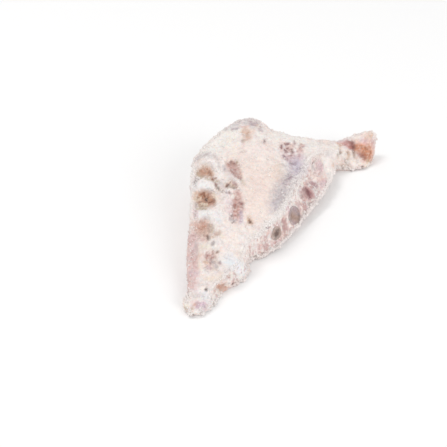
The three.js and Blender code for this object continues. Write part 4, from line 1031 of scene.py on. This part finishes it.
def flesh_material(name, fine, dark, bright, bump, rough, wet=0.0, glow=0.12):
    """Salted flesh or bone: the painted tint with finer speckles, roughness and bump of its own."""
    mat, tree = new_material(name)
    links = tree.links
    where = tree.nodes.new("ShaderNodeTexCoord").outputs["Object"]
    tint_in = node(tree, "ShaderNodeAttribute")
    tint_in.attribute_name = "tint"
    salt_in = node(tree, "ShaderNodeAttribute")
    salt_in.attribute_name = "salt"
    mild = node(tree, "ShaderNodeTexNoise", Scale=fine * 0.35, Detail=4.0, Roughness=0.6)
    close = node(tree, "ShaderNodeTexNoise", Scale=fine, Detail=3.0, Roughness=0.65)
    grain = node(tree, "ShaderNodeTexVoronoi", Scale=fine * 1.1, Randomness=1.0)
    for n in (mild, close, grain):
        links.new(where, n.inputs["Vector"])
    shade = ramp(tree, close.outputs["Fac"], [(0.30, dark), (0.52, 1.0), (0.75, bright)])
    hue = ramp(tree, mild.outputs["Fac"], [(0.32, (0.93, 0.90, 0.91)), (0.5, (1.0, 1.0, 1.0)), (0.7, (1.03, 1.02, 1.0))])
    colour = blend(tree, "MULTIPLY", 1.0, tint_in.outputs["Color"], shade)
    colour = blend(tree, "MULTIPLY", 1.0, colour, hue)
    crystal = ramp(tree, grain.outputs["Distance"], [(0.05, 1.0), (0.32, 0.0)])
    amount = tree.nodes.new("ShaderNodeMath")
    amount.operation = "MULTIPLY"
    links.new(crystal, amount.inputs[0])
    links.new(salt_in.outputs["Fac"], amount.inputs[1])
    less = tree.nodes.new("ShaderNodeMath")
    less.operation = "MULTIPLY"
    links.new(amount.outputs[0], less.inputs[0])
    less.inputs[1].default_value = 0.45
    colour = blend(tree, "MIX", less.outputs[0], colour, (0.90, 0.885, 0.87, 1))
    shader = node(tree, "ShaderNodeBsdfPrincipled")
    links.new(colour, shader.inputs["Base Color"])
    gloss = ramp(tree, mild.outputs["Fac"], [(0.3, rough - 0.14), (0.7, rough + 0.14)])
    links.new(gloss, shader.inputs["Roughness"])
    shader.inputs["Specular IOR Level"].default_value = 0.35
    shader.inputs["Subsurface Weight"].default_value = glow
    shader.inputs["Subsurface Radius"].default_value = (1.0, 0.5, 0.35)
    shader.inputs["Subsurface Scale"].default_value = 0.003
    shader.inputs["Coat Weight"].default_value = wet
    shader.inputs["Coat Roughness"].default_value = 0.35
    high = tree.nodes.new("ShaderNodeMath")
    high.operation = "ADD"
    links.new(close.outputs["Fac"], high.inputs[0])
    links.new(amount.outputs[0], high.inputs[1])
    relief_node = node(tree, "ShaderNodeBump", Strength=bump, Distance=0.0007)
    links.new(high.outputs[0], relief_node.inputs["Height"])
    links.new(relief_node.outputs["Normal"], shader.inputs["Normal"])
    out = tree.nodes.new("ShaderNodeOutputMaterial")
    links.new(shader.outputs[0], out.inputs["Surface"])
    return mat


def crystal_material(name, rough):
    mat, tree = new_material(name)
    links = tree.links
    where = tree.nodes.new("ShaderNodeTexCoord").outputs["Object"]
    tint_in = node(tree, "ShaderNodeAttribute")
    tint_in.attribute_name = "tint"
    cloud = node(tree, "ShaderNodeTexNoise", Scale=900.0, Detail=2.0)
    links.new(where, cloud.inputs["Vector"])
    shade = ramp(tree, cloud.outputs["Fac"], [(0.3, 0.9), (0.6, 1.0), (0.8, 1.03)])
    colour = blend(tree, "MULTIPLY", 1.0, tint_in.outputs["Color"], shade)
    shader = node(tree, "ShaderNodeBsdfPrincipled")
    links.new(colour, shader.inputs["Base Color"])
    gloss = ramp(tree, cloud.outputs["Fac"], [(0.3, rough - 0.1), (0.7, rough + 0.15)])
    links.new(gloss, shader.inputs["Roughness"])
    shader.inputs["Specular IOR Level"].default_value = 0.45
    relief_node = node(tree, "ShaderNodeBump", Strength=0.25, Distance=0.0002)
    links.new(cloud.outputs["Fac"], relief_node.inputs["Height"])
    links.new(relief_node.outputs["Normal"], shader.inputs["Normal"])
    out = tree.nodes.new("ShaderNodeOutputMaterial")
    links.new(shader.outputs[0], out.inputs["Surface"])
    return mat


# ------------------------------------------------------------------ the slab
inner = P1.reshape(ROWS, COLS, 3)[1:-1].reshape(-1, 3)
poles = np.stack([P1.reshape(ROWS, COLS, 3)[0].mean(0), P1.reshape(ROWS, COLS, 3)[-1].mean(0)])
verts = np.concatenate([inner, poles])
quads = grid_faces(ROWS - 2, COLS, True)
k = np.arange(COLS)
last = (ROWS - 3) * COLS
fans = np.concatenate([
    np.stack([np.full(COLS, len(inner)), (k + 1) % COLS, k], -1),
    np.stack([np.full(COLS, len(inner) + 1), last + k, last + (k + 1) % COLS], -1)])
a, b, c, d = (verts[quads[:, j]] for j in range(4))
volume = ((a * np.cross(b, c)).sum() + (a * np.cross(c, d)).sum()) / 6
if volume < 0:
    quads, fans = quads[:, ::-1], fans[:, ::-1]
inner_tint = tint.reshape(ROWS, COLS, 3)
inner_salt = crust.reshape(ROWS, COLS)
slab_tint = np.concatenate([inner_tint[1:-1].reshape(-1, 3), inner_tint[[0, -1]].mean(1)])
slab_salt = np.concatenate([inner_salt[1:-1].ravel(), inner_salt[[0, -1]].mean(1)])
flesh = flesh_material("salted_meat", 560.0, 0.95, 1.02, 0.35, 0.62, wet=0.0, glow=0.15)
meat = mesh_object("salted_meat", verts, quads, fans, slab_tint, slab_salt)
meat.data.materials.append(flesh)
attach(meat, "root")
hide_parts("meat_slab")
SKIN = BVHTree.FromPolygons(verts.tolist(), quads.tolist() + fans.tolist())

# ------------------------------------------------------------------ the sawn chine bones
spongy = flesh_material("sawn_back_bone", 800.0, 0.80, 1.08, 0.7, 0.60, wet=0.0, glow=0.08)
STREAKS = (0.35, 1.0, 0.35, 0.45)      # how plainly each shows its grain
for k, bone in enumerate(CHINE):
    rings, around = 34, 132
    rho = np.linspace(0, 1, rings)[1:]
    ang = np.arange(around) / around * 2 * np.pi
    rr, aa = np.meshgrid(rho, ang, indexing="ij")
    lobe = 1 + 0.06 * np.cos(3 * aa + 6 * bone["turn"]) + 0.04 * np.cos(5 * aa + 1)
    xs = np.concatenate([[bone["x"]], (bone["x"] + bone["rx"] * lobe * rr * np.cos(aa)).ravel()])
    ys = np.concatenate([[bone["y"]], (bone["y"] + bone["ry"] * lobe * rr * np.sin(aa)).ravel()])
    rad = np.concatenate([[0.0], rr.ravel()])
    turn = np.concatenate([[0.0], aa.ravel()])
    zs = np.empty(len(xs))
    for j, (x, y) in enumerate(zip(xs, ys)):
        hit = SKIN.ray_cast(Vector((x, y, 120)), Vector((0, 0, -1)))[0]
        zs[j] = hit[2] if hit is not None else top_at(np.array([x]), np.array([y]))[0]
    Q = np.stack([xs, ys, zs], -1)
    spokes = np.stack([np.cos(turn) * 7.0, np.sin(turn) * 7.0, rad * 1.3 + 9 * k], -1)
    streak = noise(spokes, 1.0, 31) * STREAKS[k]
    d1, d2, who = cells(Q, 2.1, 32 + k)
    pits = smooth((0.55 - d1) / 0.35)
    fade = smooth((1 - rad) / 0.25)
    up = (0.15 + 0.35 * fade + 0.40 * streak * smooth(rad / 0.3) * fade
          - 0.60 * pits * fade + 0.30 * noise(Q, 1.3, 33) * fade)
    up = np.where(rad > 0.97, -1.4, up)
    Q[:, 2] = zs + up
    under = Q[-around:].copy()
    under[:, 2] -= 3.0
    under[:, 0] = bone["x"] + (under[:, 0] - bone["x"]) * 0.9
    under[:, 1] = bone["y"] + (under[:, 1] - bone["y"]) * 0.9
    bottom = np.array([[bone["x"], bone["y"], zs[0] - 9.0]])
    V = np.concatenate([Q, under, bottom])
    j = np.arange(around)
    fan_top = np.stack([np.zeros(around, int), 1 + j, 1 + (j + 1) % around], -1)
    body = 1 + grid_faces(rings, around, True)
    body = body[:, ::-1]
    low_ring = len(Q)
    fan_low = np.stack([np.full(around, len(V) - 1), low_ring + (j + 1) % around, low_ring + j], -1)
    s = Surface(V)
    shade = skin_tint(V, np.zeros(len(V)))
    inside = np.concatenate([smooth((0.95 - rad) / 0.4), np.zeros(around + 1)])
    shade += (INKS["bone"] - shade) * (0.5 * inside)[:, None]
    bare = paint(s, shade, FIELDS)
    deep = np.concatenate([pits * fade, np.ones(around + 1)])
    line = np.concatenate([streak * fade, np.zeros(around + 1)])
    open_bone = 0.25 + 0.75 * bare
    shade *= (1 - open_bone[:, None] * (0.15 * deep + 0.37 * smooth(-line / 0.5))[:, None] * np.array([0.86, 1.0, 1.06]))
    shade += (INKS["cream"] - shade) * (0.35 * open_bone * smooth((line - 0.15) / 0.4))[:, None]
    shade = weather(V, shade, bare, 0.12)
    obj = mesh_object(bone["name"].replace("chine_bone", "sawn_back_bone"), V, body, np.concatenate([fan_top, fan_low]), np.clip(shade, 0.01, 1),
                      np.full(len(V), 0.35))
    obj.data.materials.append(spongy)
    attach(obj, "root")
    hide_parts(bone["name"])

# ------------------------------------------------------------------ the sawn rib ends
# colours from the middle of each sawn end to its rim
RIB_LOOKS = {
    "rib_bone_1": [(0.0, (106, 86, 78)), (0.30, (122, 100, 92)), (0.60, (180, 159, 150)), (0.96, (194, 173, 164)), (1.0, (202, 186, 179))],
    "rib_bone_2": [(0.0, (175, 147, 135)), (0.60, (170, 145, 134)), (0.88, (168, 148, 144)), (1.0, (200, 188, 184))],
    "rib_bone_3": [(0.0, (150, 96, 98)), (0.28, (166, 116, 118)), (0.60, (196, 158, 156)), (1.0, (206, 178, 176))],
    "rib_bone_4": [(0.0, (230, 208, 204)), (0.70, (228, 208, 205)), (0.92, (222, 206, 204)), (1.0, (234, 224, 220))],
}
RIB_FIELDS = [
    ("marrow", 0.72, 0.9, 0.5, 0, [(277.6, 230.8, 2.0), (276.4, 233.6, 2.2)]),
    ("grey", 0.22, 0.9, 0.5, 0, [(276, 238.5, 2.6)]),
    ("violet", 0.34, 0.9, 0.5, 0, [(293.8, 209.6, 3.4), (297, 213, 2.4)]),
    ("brown", 0.16, 0.9, 0.5, 0, [(290.6, 214.6, 2), (292.6, 218, 1.8)]),
    ("mauve", 0.40, 0.9, 0.5, 0, [(293.4, 223, 2.8)]),
    ("maroon", 0.55, 0.9, 0.5, 0, [(305.6, 189.4, 2.2), (308, 193.4, 2.6), (310, 197.4, 1.6)]),
    ("dark", 0.22, 0.9, 0.4, 0, [(306.6, 190.6, 1.8), (308.6, 194, 1.6)]),
    ("smoke", 0.65, 0.8, 0.5, 0, [(313.2, 163, 1.6), (313.4, 168.6, 1.6)]),
    ("white", 0.50, 0.9, 0.5, 2.4, [(316, 164, 4), (319, 171, 4)]),
    ("mauve", 0.60, 0.9, 0.5, 0, [(318.6, 163.6, 2.2), (320.6, 169, 2.4)]),
    ("red", 0.30, 0.9, 0.4, 2.4, [(316, 165, 3), (319, 171, 3.4)]),
    ("russet", 0.30, 0.9, 0.4, 0, [(314.8, 172.6, 1.1)]), ("rose", 0.60, 0.9, 0.4, 0, [(319.4, 174, 1.3)]),
]
cut = flesh_material("sawn_rib_bone", 620.0, 0.90, 1.05, 0.5, 0.55, wet=0.0, glow=0.08)
for k, rib in enumerate(RIBS):
    a, b = np.array(rib["a"], float), np.array(rib["b"], float)
    d = b - a
    unit = d / np.linalg.norm(d)
    side = np.array([-unit[1], unit[0], 0]) / np.hypot(unit[0], unit[1])
    side = side * np.sign(side[0] + 1e-9)
    upv = np.cross(unit, side)
    upv = upv * np.sign(upv[2])
    rings, around = 26, 96
    rho = np.linspace(0, 1, rings)[1:]
    ang = np.arange(around) / around * 2 * np.pi
    rr, aa = np.meshgrid(rho, ang, indexing="ij")
    rad = np.concatenate([[0.0], rr.ravel()])
    turn = np.concatenate([[0.0], aa.ravel()])
    middle, across, upright = oval_axes(rib["name"])
    shape = 1 + 0.045 * np.cos(3 * turn + k) + 0.035 * np.cos(5 * turn + 2 * k) + 0.05 * np.cos(2 * turn + 1 + k)
    shown = middle + (rad * shape * np.cos(turn))[:, None] * across + (rad * shape * np.sin(turn))[:, None] * upright
    Q, facing = np.full((len(shown), 3), np.nan), np.zeros(3)
    for j, (px, py) in enumerate(shown):
        start, along = sight(px, py)
        hit, normal, _, _ = SKIN.ray_cast(Vector(start), Vector(along))
        if hit is not None:
            Q[j], facing = hit, facing + np.array(normal)
    facing /= np.linalg.norm(facing)
    if facing @ unit < 0:
        facing = -facing
    gone = np.isnan(Q[:, 0])
    Q[gone] = np.nanmean(Q, axis=0)
    d1, d2, who = cells(Q, 2.4, 52 + k)
    pits = smooth((0.55 - d1) / 0.35)
    in_heart = smooth((0.86 - rad) / 0.15)
    out = (1.30 + 0.10 * np.exp(-((rad - 0.93) / 0.06) ** 2) - 0.25 * in_heart
           - 0.30 * pits * in_heart + 0.25 * noise(Q, 2.0, 53))
    out = np.where(rad > 0.97, -1.2, out)
    Q = Q + facing * out[:, None]
    rows = [Q]
    steps = 16
    rim, rim_turn = Q[-around:], turn[-around:]
    span = np.linalg.norm(d)
    for m in range(1, steps + 1):
        f = m / steps
        s_here = min(span, ((rim - a) @ unit).min()) * (1 - f)
        centre = a + unit * s_here
        centre[2] += RIB_ARCH * np.sin(np.pi * np.clip(s_here / span, 0, 1)) - 1.5
        slim = 0.85 * (1 - 0.25 * (m == steps))
        tube = (centre + side * (rib["wide"] * slim * np.cos(rim_turn))[:, None]
                + upv * (rib["high"] * slim * np.sin(rim_turn))[:, None])
        tube += 0.25 * noise(tube, 4, 54)[:, None] * (tube - centre) / 6
        come = float(smooth(np.array(f * 5)))
        rows.append((rim - unit * (span * f * 0.6)) * (1 - come) + tube * come)
    end = (a - unit * 0.6)[None, :] - np.array([[0, 0, 1.5]])
    V = np.concatenate(rows + [end])
    j = np.arange(around)
    fan_top = np.stack([np.zeros(around, int), 1 + j, 1 + (j + 1) % around], -1)
    body = 1 + grid_faces(rings - 1 + steps, around, True)
    ring0 = 1 + (rings - 2 + steps) * around
    fan_low = np.stack([np.full(around, len(V) - 1), ring0 + (j + 1) % around, ring0 + j], -1)
    s = Surface(V)
    at, shades = zip(*RIB_LOOKS[rib["name"]])
    spread = np.ones(len(V))
    spread[:len(Q)] = np.clip(rad + 0.07 * noise(Q, 3.0, 55), 0, 1)
    shade = np.stack([np.interp(spread, at, [linear(rgb)[c] for rgb in shades]) for c in range(3)], -1)
    bare = paint(s, shade, RIB_FIELDS)
    deep = np.zeros(len(V))
    deep[:len(Q)] = pits * in_heart
    shade *= (1 - 0.12 * deep + 0.14 * noise(V, 3.2, 56) + 0.10 * noise(V, 1.8, 57))[:, None]
    shade = weather(V, shade, 0.4 * np.clip(bare + 0.5, 0, 1))
    obj = mesh_object(rib["name"].replace("rib_bone", "sawn_rib"), V, body[:, ::-1], np.concatenate([fan_top, fan_low]),
                      np.clip(shade, 0.01, 1), np.full(len(V), 0.12))
    bm = bmesh.new()
    bm.from_mesh(obj.data)
    bmesh.ops.recalc_face_normals(bm, faces=bm.faces)
    bm.to_mesh(obj.data)
    bm.free()
    obj.data.materials.append(cut)
    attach(obj, "root")
    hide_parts(rib["name"])


# ------------------------------------------------------------------ grains of salt
ICO = np.array([[0, a, b * 1.618] for a in (-1, 1) for b in (-1, 1)] + [[a, b * 1.618, 0] for a in (-1, 1) for b in (-1, 1)]
               + [[b * 1.618, 0, a] for a in (-1, 1) for b in (-1, 1)], float) / 3.8
CUBE = np.array([[x, y, z] for x in (-1, 1) for y in (-1, 1) for z in (-1, 1)], float) * 0.5
CUBE_FACES = np.array([[0, 1, 3, 2], [4, 6, 7, 5], [0, 4, 5, 1], [2, 3, 7, 6], [0, 2, 6, 4], [1, 5, 7, 3]])


def hull_faces(points):
    """Triangles of a small convex body, facing out."""
    out = []
    n = len(points)
    for i in range(n):
        for j in range(i + 1, n):
            for k in range(j + 1, n):
                normal = np.cross(points[j] - points[i], points[k] - points[i])
                gap = (points - points[i]) @ normal
                if (gap < 1e-6).all():
                    out.append([i, j, k])
                elif (gap > -1e-6).all():
                    out.append([i, k, j])
    return np.array(out)


ICO_FACES = hull_faces(ICO)


def scatter(count, smallest, largest, seed, lean, lumps=False, proud=0.0):
    """Small uneven crystals, half sunk into the slab's skin, more of them where `lean` is high: their corners and colours."""
    rng = np.random.default_rng(seed)
    A, B, Cc, D = (verts[quads[:, j]] for j in range(4))
    normal = np.cross(B - A, D - A)
    area = np.linalg.norm(normal, axis=1)
    normal /= np.maximum(area, 1e-9)[:, None]
    weight = area * np.clip(lean[quads].mean(1), 0, None)
    pick = rng.choice(len(quads), count, p=weight / weight.sum())
    u, v = rng.random(count)[:, None], rng.random(count)[:, None]
    spot = (A[pick] * (1 - u) * (1 - v) + B[pick] * u * (1 - v) + Cc[pick] * u * v + D[pick] * (1 - u) * v)
    out = normal[pick]
    size = smallest + (largest - smallest) * rng.random(count) ** (1.3 if lumps else 2.2)
    body = ICO if lumps else CUBE
    corners = len(body)
    shape = body[None] * (0.7 + 0.6 * rng.random((count, 1, 3))) + rng.normal(0, 0.07, (count, corners, 3))
    q = rng.normal(size=(count, 4))
    q /= np.linalg.norm(q, axis=1, keepdims=True)
    w, x, y, z = q.T
    rot = np.stack([1 - 2 * (y * y + z * z), 2 * (x * y - z * w), 2 * (x * z + y * w),
                    2 * (x * y + z * w), 1 - 2 * (x * x + z * z), 2 * (y * z - x * w),
                    2 * (x * z - y * w), 2 * (y * z + x * w), 1 - 2 * (x * x + y * y)], -1).reshape(-1, 3, 3)
    V = np.einsum("nij,nkj->nki", rot, shape * size[:, None, None])
    V += (spot + out * (size * (0.22 * rng.random(count) - 0.12 + proud))[:, None])[:, None]
    keep = V[:, :, 2].min(1) > 0.02
    V = V[keep]
    base = slab_tint[quads].mean(1)[pick][keep]
    pale = INKS["white"] * (0.92 + 0.12 * rng.random((len(V), 1)))
    mix = 0.45 + 0.4 * rng.random((len(V), 1))
    shade = np.repeat(base * (1 - mix) + pale * mix, corners, axis=0)
    return V.reshape(-1, 3), np.clip(shade, 0, 1)


def salt_piece(name, lots, lumps):
    """One piece with all the crystals of a kind."""
    V, shade = (np.concatenate(x) for x in zip(*lots))
    body, faces = (ICO, ICO_FACES) if lumps else (CUBE, CUBE_FACES)
    Q = ((np.arange(len(V) // len(body)) * len(body))[:, None, None] + faces[None]).reshape(-1, faces.shape[1])
    obj = mesh_object(name, V, None if lumps else Q, Q if lumps else None, shade, None, lumps)
    obj.data.materials.append(crystal)
    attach(obj, "root")


crystal = crystal_material("salt_crystals", 0.45)
rims = np.concatenate([rim_near.reshape(ROWS, COLS)[1:-1].ravel(), [1.0, 1.0]])
on_wall = np.concatenate([(C < EDGES[0] + 14).reshape(ROWS, COLS)[1:-1].ravel(), [False, False]])
rims = np.where(on_wall, 0.25 * rims, rims)
feet = np.concatenate([(np.exp(-((C - EDGES[2] + 1) / 4.0) ** 2) + np.exp(-((C - 3) / 3.0) ** 2)).reshape(ROWS, COLS)[1:-1].ravel(), [0.0, 0.0]])
orange_end = Surface(verts).stroke([(362, 142, 6), (367, 150, 8), (368, 158, 5)], 0.6, 0.8)
rims = rims * (1 - 0.85 * orange_end)
height = verts[:, 2]
bones_q, _ = bone_spot(verts)
free = np.where((bones_q < 1.0) & (height > 8), 0.12, 1.0)
clear = smooth((oval_spot(verts, project(verts)) - 1.04) / 0.28)
on_slab = Surface(verts)
# few crystals lie in the small hollows
for marks in ([(225, 186.4, 3), (235, 187, 3)], [(250, 222, 2.6)], [(212, 178, 2.4), (217, 186, 2.6), (230, 193, 2.4)],
              [(205, 198, 5), (209, 201, 4)], [(206, 289.6, 2.4)], [(209, 236, 2.6), (214, 236, 2)], [(267.6, 227.6, 2.4)],
              [(346, 143, 3), (353, 147, 3)]):
    clear = clear * (1 - 0.92 * on_slab.stroke(marks, 0.6, 0.3))
free = free * (1 - 0.85 * orange_end) * clear
lean = (0.04 + 0.5 * slab_salt ** 2 + 2.0 * rims * slab_salt) * free * smooth((height - 0.5) / 4)
coarse = (0.01 + 0.4 * slab_salt ** 3 + 3.0 * rims * slab_salt) * free * smooth((height - 0.5) / 4)
salt_piece("salt_grains", [scatter(11000, 0.45, 1.0, 5, lean), scatter(2400, 0.9, 1.9, 6, coarse)], False)
strip = on_slab.stroke([(191, 238, 5), (190, 262, 6), (189, 288, 5)], 0.5, 0.5)
crusts = (0.002 + 3.0 * np.clip(rims, 0, 1.2) ** 2 * (0.3 + slab_salt)) * free * (1 - 0.9 * strip) * smooth((height - 0.5) / 3)
low_rims = np.clip(feet, 0, 1) ** 2 * smooth((height - 0.3) / 1.0) * clear
salt_piece("salt_lumps", [scatter(1700, 1.6, 3.2, 7, crusts, True), scatter(760, 1.8, 3.8, 8, low_rims, True, 0.12)], True)

# ------------------------------------------------------------------ floor and light
floor_mesh = bpy.data.meshes.new("floor")
floor_mesh.from_pydata([(-5, -5, 0), (5, -5, 0), (5, 5, 0), (-5, 5, 0)], [], [(0, 1, 2, 3)])
floor = bpy.data.objects.new("floor", floor_mesh)
bpy.context.scene.collection.objects.link(floor)
pale, tree = new_material("pale_floor")
shader = node(tree, "ShaderNodeBsdfPrincipled", Roughness=0.7)
wash = node(tree, "ShaderNodeTexNoise", Scale=3.0, Detail=3.0)
tree.links.new(ramp(tree, wash.outputs["Fac"], [(0.3, (0.965, 0.965, 0.965)), (0.7, (0.985, 0.985, 0.985))]), shader.inputs["Base Color"])
shader.inputs["Specular IOR Level"].default_value = 0.1
tree.links.new(shader.outputs[0], tree.nodes.new("ShaderNodeOutputMaterial").inputs["Surface"])
floor_mesh.materials.append(pale)

world = bpy.data.worlds.new("studio")
world.use_nodes = True
world.node_tree.nodes["Background"].inputs["Color"].default_value = (1.0, 1.0, 1.0, 1)
world.node_tree.nodes["Background"].inputs["Strength"].default_value = 0.74
bpy.context.scene.world = world


def soft_light(name, place, aim, size, watts, colour=(1, 1, 1)):
    data = bpy.data.lights.new(name, "AREA")
    data.shape, data.size, data.energy, data.color = "DISK", size, watts, colour
    obj = bpy.data.objects.new(name, data)
    bpy.context.scene.collection.objects.link(obj)
    obj.location = place
    obj.rotation_euler = (Vector(aim) - Vector(place)).to_track_quat("-Z", "Y").to_euler()
    return obj


soft_light("key", (-1.375, 0.625, 3.345), (0, 0, 0.02), 1.5, 31.25, (1.0, 0.99, 0.98))
soft_light("fill", (2.125, -2.625, 1.845), (0, 0, 0.02), 2.5, 40.6)

bpy.context.scene.view_settings.view_transform = "Standard"
bpy.context.scene.view_settings.look = "None"
bpy.context.scene.view_settings.exposure = 0.0
